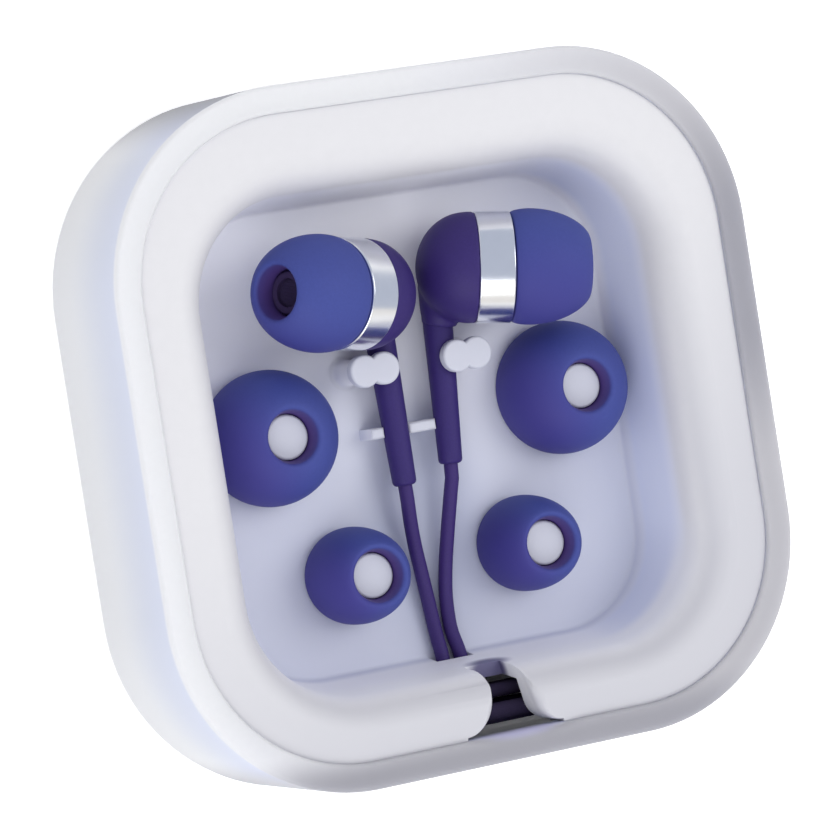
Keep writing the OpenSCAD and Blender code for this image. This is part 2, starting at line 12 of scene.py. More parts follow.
import bmesh
import bpy
from mathutils import Euler, Matrix, Vector

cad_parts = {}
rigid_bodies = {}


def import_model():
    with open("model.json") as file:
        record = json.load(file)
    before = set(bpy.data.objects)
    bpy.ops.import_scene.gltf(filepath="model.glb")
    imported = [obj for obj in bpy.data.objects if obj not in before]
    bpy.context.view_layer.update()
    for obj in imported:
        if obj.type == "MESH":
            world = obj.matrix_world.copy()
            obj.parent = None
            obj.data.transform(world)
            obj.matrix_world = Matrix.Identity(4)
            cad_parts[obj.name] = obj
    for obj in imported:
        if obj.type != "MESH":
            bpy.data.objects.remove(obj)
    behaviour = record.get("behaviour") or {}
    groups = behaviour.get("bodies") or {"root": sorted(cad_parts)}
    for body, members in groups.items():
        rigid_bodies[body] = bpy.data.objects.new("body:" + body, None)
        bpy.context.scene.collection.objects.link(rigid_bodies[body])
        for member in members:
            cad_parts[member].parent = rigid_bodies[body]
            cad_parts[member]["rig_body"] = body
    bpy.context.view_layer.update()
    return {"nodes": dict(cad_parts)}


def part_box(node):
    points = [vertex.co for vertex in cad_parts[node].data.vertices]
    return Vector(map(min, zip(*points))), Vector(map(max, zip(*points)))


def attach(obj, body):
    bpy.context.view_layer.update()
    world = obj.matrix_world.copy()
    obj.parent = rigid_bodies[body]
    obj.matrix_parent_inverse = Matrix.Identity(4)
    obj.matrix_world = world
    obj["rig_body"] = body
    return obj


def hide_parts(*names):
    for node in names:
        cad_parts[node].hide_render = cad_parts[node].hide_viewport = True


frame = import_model()
MM = 0.001

# %% [markdown]
# ## Camera
# The case lies on its back. A long lens looks down on it from its left side, far enough away that the
# square hardly narrows. A long focal length is the simple way to get the calm, nearly parallel edges of a
# product picture.

# %% Camera
SENSOR, FOCAL, RENDER_SIDE = 36, 4574, 840  # the sensor in mm, the focal length and the side in pixels
PLACE, TURNS = (-185.301, 17.139, 397.167), (1.946, -25.465, -9.888)  # in mm and degrees

lens_camera = bpy.data.cameras.new("product_camera")
lens_camera.sensor_width = SENSOR
lens_camera.lens = SENSOR * FOCAL / RENDER_SIDE
lens_camera.clip_start, lens_camera.clip_end = 0.01, 20
camera = bpy.data.objects.new("product_camera", lens_camera)
camera.location = [v * MM for v in PLACE]
camera.rotation_euler = Euler([math.radians(a) for a in TURNS], "XYZ")
bpy.context.scene.collection.objects.link(camera)
bpy.context.scene.camera = camera
print("lens", round(lens_camera.lens, 1), "mm")

# %% [markdown]
# ## The route of the cords
# Each earphone's cord comes out of its strain relief, runs down the well, passes through the slot at the
# foot of the wall and is wound one and a half times round the tray. There a splitter joins the two, and the
# thicker main cord goes round four more times to the plug. A cord is one long tube along a list of points,
# so the points come first. They repeat the route of the solids: a few points given one by one, then corner
# arcs that climb or drop as they go round.

# %% Corner arcs and smooth lines, in millimetres above the floor of the well
FLOOR = 5.3  # the floor of the well above the back of the case
CORNER = 14.3  # the middle of each corner, from the middle of the case


def share(k, row):
    """How many turns a point lies from the start. Each corner has the numbers 6q to 6q + 5."""
    bend, run, q = (row - CORNER) * math.pi / 2, 2 * CORNER, k // 6
    return (q * (bend + run) + run / 2 + (k - q * 6) / 5 * bend) / (4 * (bend + run))


def corner_point(k, row, z):
    """A point on a corner's arc. The corners follow one another clockwise."""
    q = k // 6
    a = math.radians(-90 - 90 * q - 90 * (k - q * 6) / 5)
    m = math.radians(-135 - 90 * q)
    return Vector((CORNER * math.copysign(1, math.cos(m)) + (row - CORNER) * math.cos(a),
                   CORNER * math.copysign(1, math.sin(m)) + (row - CORNER) * math.sin(a), z))


def round_corners(first, last, steps=15):
    """The numbers of the points on a run of corners, in three times the steps that the solids have."""
    return [q * 6 + 5 * j / steps for q in range(first, last) for j in range(steps + 1)]


def smooth_line(points, steps):
    """A smooth line through the points, with a number of steps from each to the next."""
    out, n = [], len(points) - 1
    for i in range(n):
        a, b, c, d = (Vector(points[j]) for j in (max(i - 1, 0), i, i + 1, min(i + 2, n)))
        for k in range(steps):
            t = k / steps
            out.append(0.5 * (2 * b + (c - a) * t + (2 * a - 5 * b + 4 * c - d) * t * t
                              + (3 * b - a - 3 * c + d) * t ** 3))
    return out + [Vector(points[-1])]


print("a corner has", len(round_corners(0, 1)), "points, a turn", len(round_corners(0, 4)))

# %% [markdown]
# ## The two thin cords
# Each thin cord leaves its strain relief in a straight line, sinks to the floor of the well and passes the
# slot. A loose cord follows no rule, so that part is a smooth line through listed points. The wound
# part follows one: it climbs by the height of two cords in each turn, so the left and the right cord lie in
# turns one above the other.

# %% Thin cords
LEG_D, LEG_ROW, LEG_RISE, LEG_STEP, LEG_START = 1.35, 26.4, 3.54, 1.77, 0.65
SPLIT_L, SPLIT_Z = 9.0, 6.9
LEG_LEAD, FREE_STEPS = 3, 4


def leg_wound(step):
    """A thin cord's turn and a half. step lifts the right cord above the left one."""
    start = LEG_START + step
    return [corner_point(k, LEG_ROW, start + LEG_RISE * share(k, LEG_ROW)) for k in round_corners(0, 6)]


def leg_last(step):
    """The straight end that runs into the splitter."""
    z = SPLIT_Z + step - LEG_STEP / 2
    return [Vector((-SPLIT_L / 2 - LEG_LEAD, LEG_ROW, z)), Vector((-SPLIT_L / 2, LEG_ROW, z))]


RELIEF = {"left": (Vector((-2.85, 9.4, 2.3)), Vector((-2.62, -6.1, 2.3))),
          "right": (Vector((3.45, 9.4, 2.3)), Vector((2.45, -4.85, 2.3)))}
FREE = {"left": [(-2.46, -9.6, 1.9), (-2.2, -12, 1.5), (-1.85, -14.4, 1.2), (-1.45, -17.6, 0.95),
                 (-1.1, -20.6, 0.75), (-0.8, -23.3, 0.75), (-1.2, -25.2, 0.75), (-3, -26.3, 0.7),
                 (-6.5, -LEG_ROW, 0.78)],
        "right": [(1.95, -8.2, 2), (1.33, -11.2, 1.65), (0.75, -14.3, 1.3), (0.42, -17.2, 1),
                  (0.47, -20.2, 0.8), (0.95, -22.4, 0.78), (1.1, -23.8, 0.85), (0.5, -25.4, 1.85),
                  (-1.6, -26.3, 2.45), (-6.5, -LEG_ROW, 2.55)]}


def leg_route(side):
    """The whole way of a thin cord, from its strain relief to the splitter."""
    top, end = RELIEF[side]
    step = 0 if side == "left" else LEG_STEP
    out = end + LEG_D * (end - top).normalized()
    return [end] + smooth_line([out] + FREE[side], FREE_STEPS) + leg_wound(step) + leg_last(step)


print("points of the thin cords:", [len(leg_route(side)) for side in RELIEF])

# %% [markdown]
# ## The main cord
# The main cord starts at the splitter and is wound outside the thin ones, in four rows from the top down to
# the plug. Each row is level at first and then slopes to the next, as when a cord is wound by hand with
# some care. Every second turn lies a little further in, because a round cord settles between its
# neighbours.

# %% Main cord
MAIN_D, MAIN_ROW = 1.6, 28.7
MAIN_TOP, MAIN_STEP, MAIN_TURNS, MAIN_STAGGER = 7.7, 2.03, 4, 0.55
RAMP_FROM = 0.55  # the part of a turn after which the cord goes down to its next row
PLUG_ROW, PLUG_Y, PLUG_Z = 27.2, 12.5, -1.6
TO_PLUG, OVER = 0.3, 0.25  # how long before the fourth turn ends it moves in, and over what part of one
LEAD = [(SPLIT_L / 2, LEG_ROW, SPLIT_Z), (SPLIT_L / 2 + MAIN_D, LEG_ROW, SPLIT_Z),
        (9.2, LEG_ROW + 0.7, 7.35), (11.8, LEG_ROW + 1.5, 7.75)]


def ramp(turns):
    """The rows gone down so far: level for the first part of each turn, then sloping to the next row."""
    return math.floor(turns) + max(0, (turns - math.floor(turns) - RAMP_FROM) / (1 - RAMP_FROM))


def main_z(turns):
    """The height of the main cord: even rows, and a longer way down to the plug."""
    if turns < MAIN_TURNS - 1:
        return MAIN_TOP - MAIN_STEP * ramp(turns)
    low = MAIN_TOP - MAIN_STEP * (MAIN_TURNS - 1)
    nearly = MAIN_TURNS - 0.01  # at a whole turn the slope would start again
    return low - (ramp(min(turns, nearly)) - MAIN_TURNS + 1) * (low - PLUG_Z)


def main_half(turns):
    """Every second turn lies a little further in, and the last leg moves in to the plug's row."""
    drop = ramp(turns) - math.floor(turns)
    inner = 1 - drop if math.floor(turns) % 2 == 0 else drop
    to_plug = max(0, min(1, (turns - MAIN_TURNS + TO_PLUG) / OVER))
    return MAIN_ROW - MAIN_STAGGER * inner - (MAIN_ROW - MAIN_STAGGER - PLUG_ROW) * to_plug


def main_route():
    """The whole way of the main cord, from the splitter to the plug."""
    route = [Vector(p) for p in LEAD]
    for k in round_corners(2, 19):
        turns = share(k, MAIN_ROW) - share(12, MAIN_ROW)
        route.append(corner_point(k, main_half(turns), main_z(turns)))
    return route + [Vector((PLUG_ROW, PLUG_Y, PLUG_Z))]


print("points of the main cord:", len(main_route()))


# %% The routes in the shared frame
def in_frame(points):
    """Points in metres, from the back of the case."""
    return [(Vector(p) + Vector((0, 0, FLOOR))) * MM for p in points]


def run_length(points):
    """The length of a line through the points."""
    return sum((b - a).length for a, b in zip(points, points[1:]))


ROUTES = {"cord_left": (in_frame(leg_route("left")), LEG_D),
          "cord_right": (in_frame(leg_route("right")), LEG_D),
          "cord_main": (in_frame(main_route()), MAIN_D)}
for name, (route, d) in ROUTES.items():
    print(name, round(run_length(route) * 1000), "mm long,", d, "mm thick")

# %% [markdown]
# ## Building with Geometry Nodes
# Geometry Nodes make shapes by rule, and suit what is swept or woven. Three small helpers keep the steps
# below short: one starts a tree with named inputs, one runs a tree on an object and keeps the result as a
# plain mesh, and one puts a new object into the scene.

# %% Helpers for node trees
def new_tree(name, sizes):
    """A tree with named inputs. It gives back its ends, a function that adds nodes, and the identifiers."""
    tree = bpy.data.node_groups.new(name, "GeometryNodeTree")
    tree.interface.new_socket("Geometry", in_out="INPUT", socket_type="NodeSocketGeometry")
    sockets = {}
    for label, kind, value in sizes:
        sockets[label] = tree.interface.new_socket(label, in_out="INPUT", socket_type=kind)
        sockets[label].default_value = value
    sockets["Finish"] = tree.interface.new_socket("Finish", in_out="INPUT", socket_type="NodeSocketMaterial")
    tree.interface.new_socket("Geometry", in_out="OUTPUT", socket_type="NodeSocketGeometry")
    start, end = tree.nodes.new("NodeGroupInput"), tree.nodes.new("NodeGroupOutput")

    def add(kind, inputs=(), **settings):
        node = tree.nodes.new(kind)
        for key, value in settings.items():
            setattr(node, key, value)
        for key, value in dict(inputs).items():
            if isinstance(value, bpy.types.NodeSocket):
                tree.links.new(value, node.inputs[key])
            else:
                node.inputs[key].default_value = value
        return node

    return tree, start, end, add, {label: s.identifier for label, s in sockets.items()}


def baked(obj, tree, values):
    """Runs a node tree on obj and keeps the result as a plain mesh."""
    work = obj.modifiers.new("shape", "NODES")
    work.node_group = tree
    for identifier, value in values.items():
        work[identifier] = value
    obj.update_tag()
    bpy.context.view_layer.update()
    made = bpy.data.meshes.new_from_object(obj.evaluated_get(bpy.context.evaluated_depsgraph_get()))
    obj.modifiers.remove(work)
    obj.data = made
    return obj


def new_piece(name, mesh=None):
    """An object in the scene, with a mesh of its own."""
    piece = bpy.data.objects.new(name, mesh or bpy.data.meshes.new(name))
    bpy.context.scene.collection.objects.link(piece)
    return piece


print("node trees made so far:", len(bpy.data.node_groups))

# %% [markdown]
# ## Sweeping a round section along a route
# Geometry Nodes do this well: a circle is carried along a line, and the whole cord is one smooth tube. The
# tree has named inputs for the radius, the sides of the section and the finish, so that the three cords
# share it. The result is turned into a plain mesh, because an exported model has no node trees.

# %% A node tree that sweeps a tube
tube_tree, tube_in, tube_out, add, TUBE = new_tree("swept_tube", [
    ("Radius", "NodeSocketFloat", 0.001), ("Sides", "NodeSocketInt", 16)])
line = add("GeometryNodeMeshToCurve", {"Mesh": tube_in.outputs["Geometry"]})
section = add("GeometryNodeCurvePrimitiveCircle", {"Resolution": tube_in.outputs["Sides"],
                                                   "Radius": tube_in.outputs["Radius"]})
swept = add("GeometryNodeCurveToMesh", {"Curve": line.outputs["Curve"],
                                        "Profile Curve": section.outputs["Curve"], "Fill Caps": True})
soft = add("GeometryNodeSetShadeSmooth", {"Geometry": swept.outputs["Mesh"], "Shade Smooth": True})
real = add("GeometryNodeRealizeInstances", {"Geometry": soft.outputs["Geometry"]})
coat = add("GeometryNodeSetMaterial", {"Geometry": real.outputs["Geometry"],
                                       "Material": tube_in.outputs["Finish"]})
tube_tree.links.new(coat.outputs["Geometry"], tube_out.inputs["Geometry"])
print("tube tree has", len(tube_tree.nodes), "nodes")

# %% [markdown]
# ## A helper for finishes
# Every finish starts from the same shader with its plain numbers set on it. A fine noise in object space
# then varies the colour, the roughness and a shallow bump. Real moulded plastic is never one flat tone, and
# this small variation is what keeps a large pale surface from looking drawn.

# %% Finish helper
BUMP_DEPTH = 0.00004
NOISE_LOW, NOISE_HIGH = 0.3, 0.7


def finish(name, colour, rough, grain=2500.0, tone=0.04, rough_vary=0.05, bump=0.02, **shader):
    """A moulded finish: colour and roughness vary by a fine noise, which also gives a shallow bump."""
    mat = bpy.data.materials.new(name)
    mat.use_nodes = True
    nodes, links = mat.node_tree.nodes, mat.node_tree.links
    bsdf = nodes["Principled BSDF"]
    for key, value in shader.items():
        bsdf.inputs[key.replace("_", " ")].default_value = value
    where = nodes.new("ShaderNodeTexCoord")
    noise = nodes.new("ShaderNodeTexNoise")
    noise.inputs["Scale"].default_value = grain
    noise.inputs["Detail"].default_value = 4
    links.new(where.outputs["Object"], noise.inputs["Vector"])
    tones = nodes.new("ShaderNodeValToRGB")
    low_stop, high_stop = tones.color_ramp.elements
    low_stop.position, high_stop.position = NOISE_LOW, NOISE_HIGH
    low_stop.color = (*(c * (1 - tone) for c in colour), 1)
    high_stop.color = (*(min(1.0, c * (1 + tone)) for c in colour), 1)
    links.new(noise.outputs["Fac"], tones.inputs["Fac"])
    links.new(tones.outputs["Color"], bsdf.inputs["Base Color"])
    spread = nodes.new("ShaderNodeMapRange")
    spread.inputs["To Min"].default_value = max(0.0, rough - rough_vary)
    spread.inputs["To Max"].default_value = min(1.0, rough + rough_vary)
    links.new(noise.outputs["Fac"], spread.inputs["Value"])
    links.new(spread.outputs["Result"], bsdf.inputs["Roughness"])
    relief = nodes.new("ShaderNodeBump")
    relief.inputs["Strength"].default_value = bump
    relief.inputs["Distance"].default_value = BUMP_DEPTH
    links.new(noise.outputs["Fac"], relief.inputs["Height"])
    links.new(relief.outputs["Normal"], bsdf.inputs["Normal"])
    return mat


print("a finish varies by a noise between", NOISE_LOW, "and", NOISE_HIGH)

# %% [markdown]
# ## Helpers that vary a tone from place to place
# These helpers paint light and shade into a finish's colour, so that one plain colour can be lighter here and
# darker there.
# Small node helpers measure where a point lies, turn that into a soft step from 0 to 1, and mix a second
# colour in by it. That is quicker than painting a texture, needs no unwrapping, and stays sharp however
# near the camera comes.

# %% Helpers for tones
MIX_FACTOR, MIX_A, MIX_B, MIX_RESULT = 0, 6, 7, 2  # the colour sockets of a Mix node, whose names repeat


def faded(mat, value, start, end):
    """0 where value is at start, 1 where it is at end, and a soft step between them."""
    nodes, links = mat.node_tree.nodes, mat.node_tree.links
    fade = nodes.new("ShaderNodeMapRange")
    fade.interpolation_type = "SMOOTHSTEP"
    fade.inputs["From Min"].default_value = start
    fade.inputs["From Max"].default_value = end
    links.new(value, fade.inputs["Value"])
    return fade.outputs["Result"]


def product(mat, first, second):
    """Two factors multiplied, so that a tone shows only where both are high."""
    nodes, links = mat.node_tree.nodes, mat.node_tree.links
    times = nodes.new("ShaderNodeMath")
    times.operation = "MULTIPLY"
    links.new(first, times.inputs[0])
    links.new(second, times.inputs[1])
    return times.outputs["Value"]


def blend_tone(mat, colour, amount):
    """Mixes a colour into a finish: none of it where amount is 0, all of it where amount is 1."""
    nodes, links = mat.node_tree.nodes, mat.node_tree.links
    bsdf = nodes["Principled BSDF"]
    was = bsdf.inputs["Base Color"].links[0].from_socket
    mix = nodes.new("ShaderNodeMix")
    mix.data_type = "RGBA"
    mix.inputs[MIX_B].default_value = (*colour, 1)
    links.new(amount, mix.inputs[MIX_FACTOR])
    links.new(was, mix.inputs[MIX_A])
    links.new(mix.outputs[MIX_RESULT], bsdf.inputs["Base Color"])


def along(mat, direction):
    """How far a point of the piece lies along a direction, in metres."""
    nodes, links = mat.node_tree.nodes, mat.node_tree.links
    dot = nodes.new("ShaderNodeVectorMath")
    dot.operation = "DOT_PRODUCT"
    dot.inputs[1].default_value = Vector(direction).normalized()
    links.new(nodes.new("ShaderNodeTexCoord").outputs["Object"], dot.inputs[0])
    return dot.outputs["Value"]


def away_from(mat, place, squeeze=(1, 1, 1)):
    """The distance of a point from a place given in millimetres, with each axis squeezed."""
    nodes, links = mat.node_tree.nodes, mat.node_tree.links
    local = nodes.new("ShaderNodeMapping")
    local.vector_type = "TEXTURE"
    local.inputs["Location"].default_value = [v * MM for v in place]
    local.inputs["Scale"].default_value = squeeze
    links.new(nodes.new("ShaderNodeTexCoord").outputs["Object"], local.inputs["Vector"])
    far = nodes.new("ShaderNodeVectorMath")
    far.operation = "LENGTH"
    links.new(local.outputs["Vector"], far.inputs[0])
    return far.outputs["Value"]


def stored(mat, name):
    """A number that the mesh keeps at each of its points."""
    node = mat.node_tree.nodes.new("ShaderNodeAttribute")
    node.attribute_name = name
    return node.outputs["Fac"]


def toward(mat, direction, start, end):
    """0 at one distance along a direction and 1 at another, both in millimetres."""
    return faded(mat, along(mat, direction), start * MM, end * MM)


def around(mat, place, start, end, squeeze=(1, 1, 1)):
    """0 at one distance from a place and 1 at another, both in millimetres."""
    return faded(mat, away_from(mat, place, squeeze), start * MM, end * MM)


print("tones fade along a direction or round a place")

# %% [markdown]
# ## The pale plastics
# The tray and the case are milky: light goes a little way in and comes out again, which Subsurface does.
# Light and shade are also painted into their colours: each painted tone is a plain colour, lighter, darker or
# tinted, that is faded in where that light or shade falls.

# %% Milky tray
UP, EVEN = (0, 0, 1), (1.0, 1.0, 1.0)
MILKY = {"grain": 900, "tone": 0.008, "bump": 0.01, "Subsurface_Weight": 0.2, "Subsurface_Radius": EVEN,
         "Subsurface_Scale": 0.0008}
milky = finish("milky_tray", (0.800, 0.790, 0.800), 0.45, **MILKY)
RING_SHADE_PAINT, WALL, WALL_RIGHT = (0.65, 0.645, 0.68), (0.95, 0.95, 1.0), (0.75, 0.785, 0.94)
WELL_TOP, WELL_LOW, CORD_SHADOW_PAINT = (0.92, 0.92, 0.98), (0.70, 0.72, 0.83), (0.58, 0.61, 0.75)
SHOULDER_LOW, SILL_SHADE_PAINT = (0.97, 0.97, 1.0), (0.13, 0.12, 0.24)

# painted shade: the ring's top darkens towards the lower right
ring_shade_mask = product(milky, toward(milky, (0.45, -1, 0), -12, 30), toward(milky, UP, 15, 16.4))
blend_tone(milky, RING_SHADE_PAINT, ring_shade_mask)
# painted light: the walls and floor of the well are made lighter than the ring
walls = toward(milky, UP, 14, 11)
blend_tone(milky, WALL, walls)
# painted shade: the right wall of the well is darker and bluer
blend_tone(milky, WALL_RIGHT, product(milky, walls, toward(milky, (1, 0, 0), 12, 19)))
# painted light on the floor of the well, with painted shade that darkens it towards the lower end
well_floor = toward(milky, UP, 7.5, 5.6)
blend_tone(milky, WELL_TOP, well_floor)
blend_tone(milky, WELL_LOW, product(milky, well_floor, toward(milky, (0, -1, 0), -16, 12)))
# painted shadow of the cords on the floor of the well
blend_tone(milky, CORD_SHADOW_PAINT, product(milky, well_floor, around(milky, (0, -11, 5.3), 12, 4, (0.7, 1.3, 1))))
# painted light on the lower side of the ring's inner shoulder and wall
shoulder = product(milky, toward(milky, UP, 16.3, 13.5), toward(milky, (0, -1, 0), 12, 22))
blend_tone(milky, SHOULDER_LOW, product(milky, shoulder, toward(milky, UP, 10, 12.5)))
# painted shade: a dark violet patch on the sill in the notch, where the cords lie behind
blend_tone(milky, SILL_SHADE_PAINT, around(milky, (1.35, -24.6, 11.0), 2.3, 1.1, (1.35, 1, 0.9)))
# painted shade: a darker, bluer copy of the tray's finish for the heads of the pegs, clips and rib
fittings_shaded = finish("milky_fittings", (0.655, 0.665, 0.745), 0.45, **MILKY)
print("two finishes for the tray")

# %% Frosted case
frosted = finish("frosted_shell", (0.965, 0.965, 0.99), 0.5, grain=1800, tone=0.01, bump=0.02,
                 Transmission_Weight=0.1, IOR=1.3, Subsurface_Weight=0.7, Subsurface_Radius=EVEN,
                 Subsurface_Scale=0.0022)
# the case's tones below are painted light and shade, and a fade back to its own white
RIM_RIGHT, RIM_FAR_RIGHT, RIM_LOW = (0.585, 0.575, 0.60), (0.42, 0.415, 0.455), (0.42, 0.415, 0.45)
SIDE_BLUE, SIDE_WHITE, SIDE_LOW = (0.76, 0.795, 0.95), (0.96, 0.96, 0.98), (0.55, 0.545, 0.58)
CORNER_GREY, NOTCH_EDGE = (0.24, 0.24, 0.27), (0.56, 0.55, 0.74)

# painted shade: the rim darkens towards the right
blend_tone(frosted, RIM_RIGHT, toward(frosted, (-1, 0.5, 0), 26, -22))
# painted shade: a darker patch on the right of the rim
blend_tone(frosted, RIM_FAR_RIGHT, around(frosted, (31.5, 9, 18), 19, 5))
# painted tint: below the rim the walls turn blue, standing in for the wound cords seen through the frosted
# wall
side_wall = toward(frosted, UP, 17.3, 16.6)
blend_tone(frosted, SIDE_BLUE, side_wall)
# towards the floor the walls fade back to the case's own white
blend_tone(frosted, SIDE_WHITE, toward(frosted, UP, 15, 3))
left_side = product(frosted, side_wall, toward(frosted, (1, 0, 0), 12, -16))
# painted shade: a dark grey streak along the far left corner of the side
blend_tone(frosted, CORNER_GREY, product(frosted, left_side, toward(frosted, (0.12, 1, 0), 24.5, 31)))
low_end = toward(frosted, (0, -1, 0), 27.5, 31.5)
# painted shade on the near end of the left side
blend_tone(frosted, SIDE_LOW, product(frosted, low_end, left_side))
# painted shade on the rim at its near end
blend_tone(frosted, RIM_LOW, product(frosted, low_end, toward(frosted, UP, 16.6, 17.3)))
# painted shade: a violet tint on the rim's rounding by the notch, where the cords lie below
blend_tone(frosted, NOTCH_EDGE, around(frosted, (0.9, -30.2, 16.4), 1.2, 0.5, (5, 1, 1.1)))
print("one finish for the case")

# %% [markdown]
# ## The dark finishes and the metals
# Silicone is matt and shows little gloss, so its specular level is low. Shade is painted on the tips: one
# side of each, and the inside of its mouth, is darker and more violet, by the numbers "across" and "deep" on
# their
# points. The cords get painted shade too: darker by the slot, and the wound cord, which lies in the dark,
# gets a darker, duller shaded copy of the jacket. The metals are plain: their look comes from what they
# reflect.

# %% Silicone, soft plastics and cord jackets
TIP_SHADE, TIP_MOUTH_SHADE, SLOT_SHADE_PAINT = (0.056, 0.048, 0.258), (0.075, 0.042, 0.200), (0.036, 0.027, 0.070)

silicone = finish("indigo_silicone", (0.058, 0.078, 0.315), 0.62, grain=4000, tone=0.04, bump=0.015,
                  Specular_IOR_Level=0.25)
# painted shade: each tip is darker and more violet on its side away from the key lamp
blend_tone(silicone, TIP_SHADE, faded(silicone, stored(silicone, "across"), 0.25, -0.95))
# painted shade inside each tip's mouth and bore
blend_tone(silicone, TIP_MOUTH_SHADE, stored(silicone, "deep"))
violet = finish("violet_soft_touch", (0.038, 0.021, 0.150), 0.55, grain=5000, tone=0.06, bump=0.02,
                Specular_IOR_Level=0.3)
# painted shade: the front housings, seen only inside the tips' bores, are near black and matt to stand for
# the shade there
dark_bore = finish("dark_nozzle", (0.045, 0.030, 0.085), 0.85, grain=5000, tone=0.06, Specular_IOR_Level=0.05)
jacket = finish("violet_cord_jacket", (0.046, 0.022, 0.155), 0.55, grain=6000, tone=0.08, bump=0.03,
                Specular_IOR_Level=0.35)
# painted shade: the cords darken where they pass the slot
blend_tone(jacket, SLOT_SHADE_PAINT, toward(jacket, (0, -1, 0), 23.4, 24.6))
# painted shade: the wound cord gets a darker, duller copy of the jacket
shaded_wound_jacket = finish("shaded_wound_cord_jacket", (0.034, 0.026, 0.058), 0.9, grain=6000, tone=0.08, bump=0.03,
                      Specular_IOR_Level=0.08)
print("five dark finishes")

# %% Metals and small parts
steel = finish("polished_ring", (0.90, 0.91, 0.94), 0.19, grain=1200, tone=0.01, rough_vary=0.02, bump=0.002,
               Metallic=1.0)
# painted shade: the screens are dark and matt for the same reason
dark_mesh = finish("dark_acoustic_mesh", (0.040, 0.028, 0.075), 0.85, grain=9000, tone=0.1,
                   Specular_IOR_Level=0.05)
dull_steel = finish("pressed_steel", (0.4, 0.4, 0.42), 0.35, grain=3000, tone=0.05, Metallic=1.0)
copper = finish("enamelled_copper", (0.6, 0.25, 0.1), 0.35, grain=6000, tone=0.1, Metallic=1.0)
film = finish("thin_film", (0.55, 0.5, 0.3), 0.3, grain=3000, tone=0.05)
gold = finish("plated_contact", (0.83, 0.62, 0.28), 0.18, grain=3000, tone=0.03, rough_vary=0.04,
              Metallic=1.0)
black = finish("black_insulator", (0.02, 0.02, 0.022), 0.4, grain=3000, tone=0.1)
print(len(bpy.data.materials), "finishes in all")

# %% [markdown]
# ## Carrying the solids over
# Most solids already have the right shape. A copy is welded, its flat faces are made whole again, and it is
# shaded smoothly up to a corner angle. Its large faces keep their normals, so round walls look round and
# edges stay crisp.

# %% Dressing a solid
WELD, FLAT = 2e-7, 0.3  # a gap in metres that is closed, and a bend in degrees that still counts as flat
SOFT_CORNER, MOULD_CORNER, LARGE_FACES = 50, 38, 100


def stand_in(piece, node):
    """Makes a piece ride where a solid rides, and stand for it."""
    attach(piece, frame["nodes"][node]["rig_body"])
    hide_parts(node)
    return piece


def welded(node):
    """A closed copy of a solid's mesh, with one face for each flat."""
    made = bmesh.new()
    made.from_mesh(frame["nodes"][node].data)
    bmesh.ops.remove_doubles(made, verts=made.verts, dist=WELD)
    bmesh.ops.dissolve_limit(made, angle_limit=math.radians(FLAT), verts=made.verts, edges=made.edges)
    return made


def to_mesh(made, name, *mats):
    """A mesh with its materials. What it was made from is freed."""
    mesh = bpy.data.meshes.new(name)
    made.to_mesh(mesh)
    made.free()
    for mat in mats:
        mesh.materials.append(mat)
    return mesh


def shaded(piece, corner):
    """Smooth shading up to a corner angle in degrees, with the normals of the large faces kept."""
    piece.data.shade_smooth()
    piece.data.set_sharp_from_angle(angle=math.radians(corner))
    flat = piece.modifiers.new("flat_faces", "WEIGHTED_NORMAL")
    flat.keep_sharp = True
    flat.weight = LARGE_FACES
    return piece


def dressed(node, mat):
    """A smoothly shaded copy of a solid, which it stands for."""
    piece = new_piece(node + "_dressed", to_mesh(welded(node), node, mat))
    return stand_in(shaded(piece, MOULD_CORNER), node)


print("solids are welded and shaded smoothly up to", MOULD_CORNER, "degrees")

# %% [markdown]
# ## Measuring on the case's plan
# The case and the tray are rounded squares, one inside the other. One measure tells how far out a point
# lies on such a plan, and one gives the direction that leads outwards there. Both are short sums, so they
# are written out here and used by all that follows.

# %% The rounded square
def half_width(x, y):
    """How far a point lies from the middle of the case, measured as the case's rounded square."""
    if min(abs(x), abs(y)) > CORNER:
        return CORNER + math.hypot(abs(x) - CORNER, abs(y) - CORNER)
    return max(abs(x), abs(y))


def outward(x, y):
    """The direction in which the rounded square grows at a point."""
    away = Vector((max(0, abs(x) - CORNER), max(0, abs(y) - CORNER)))
    if min(away) <= 0:
        away = Vector((1, 0)) if abs(x) > abs(y) else Vector((0, 1))
    away.normalize()
    return Vector((math.copysign(away.x, x), math.copysign(away.y, y), 0))


RING_HALF = 29.8  # where the tray's ring meets the rim of the case
print("the ring's corner lies", round(half_width(25, 25), 2), "mm out at 25, 25, and its side at", RING_HALF)

# %% [markdown]
# ## The tray
# The tray is one white moulding: a rounded ring round a well, with pegs, clips and a rib on its floor. It
# is the largest pale piece, so its edges matter most. The ring's outer shoulder is eased up towards the rim
# of the case, and the heads of what stands in the well get a small rounded edge. Both are done on the
# welded copy, by a height change that depends only on the distance from the middle and by a bevel on chosen
# edges, because modelling the tray afresh could leave it out of step with the solid.

# %% Reshaping the tray
SHOULDER, SHOULDER_DROP, EASED_DROP, SHOULDER_FOOT, SHOULDER_BLEND = 3.0, 1.2, 0.2, 8.4, 1.6
SNUG = 0.095  # how much wider the ring is at its edge, so that the seam closes
SOFT_EDGE, SOFT_FROM, SOFT_REACH = 0.32, 0.4, 19.5
RIB_END, RIB_END_EASED, RIB_REACH, RIB_TOP = -7.0, -5.4, 10, 3
SAME, FACING_UP = 0.05, 0.9


def rounded(made, chosen, size):
    """Rounds the chosen edges, and says how many there were."""
    bmesh.ops.bevel(made, geom=chosen, offset=size * MM, offset_type="OFFSET", segments=4, profile=0.5,
                    affect="EDGES", clamp_overlap=True)
    return len(chosen)


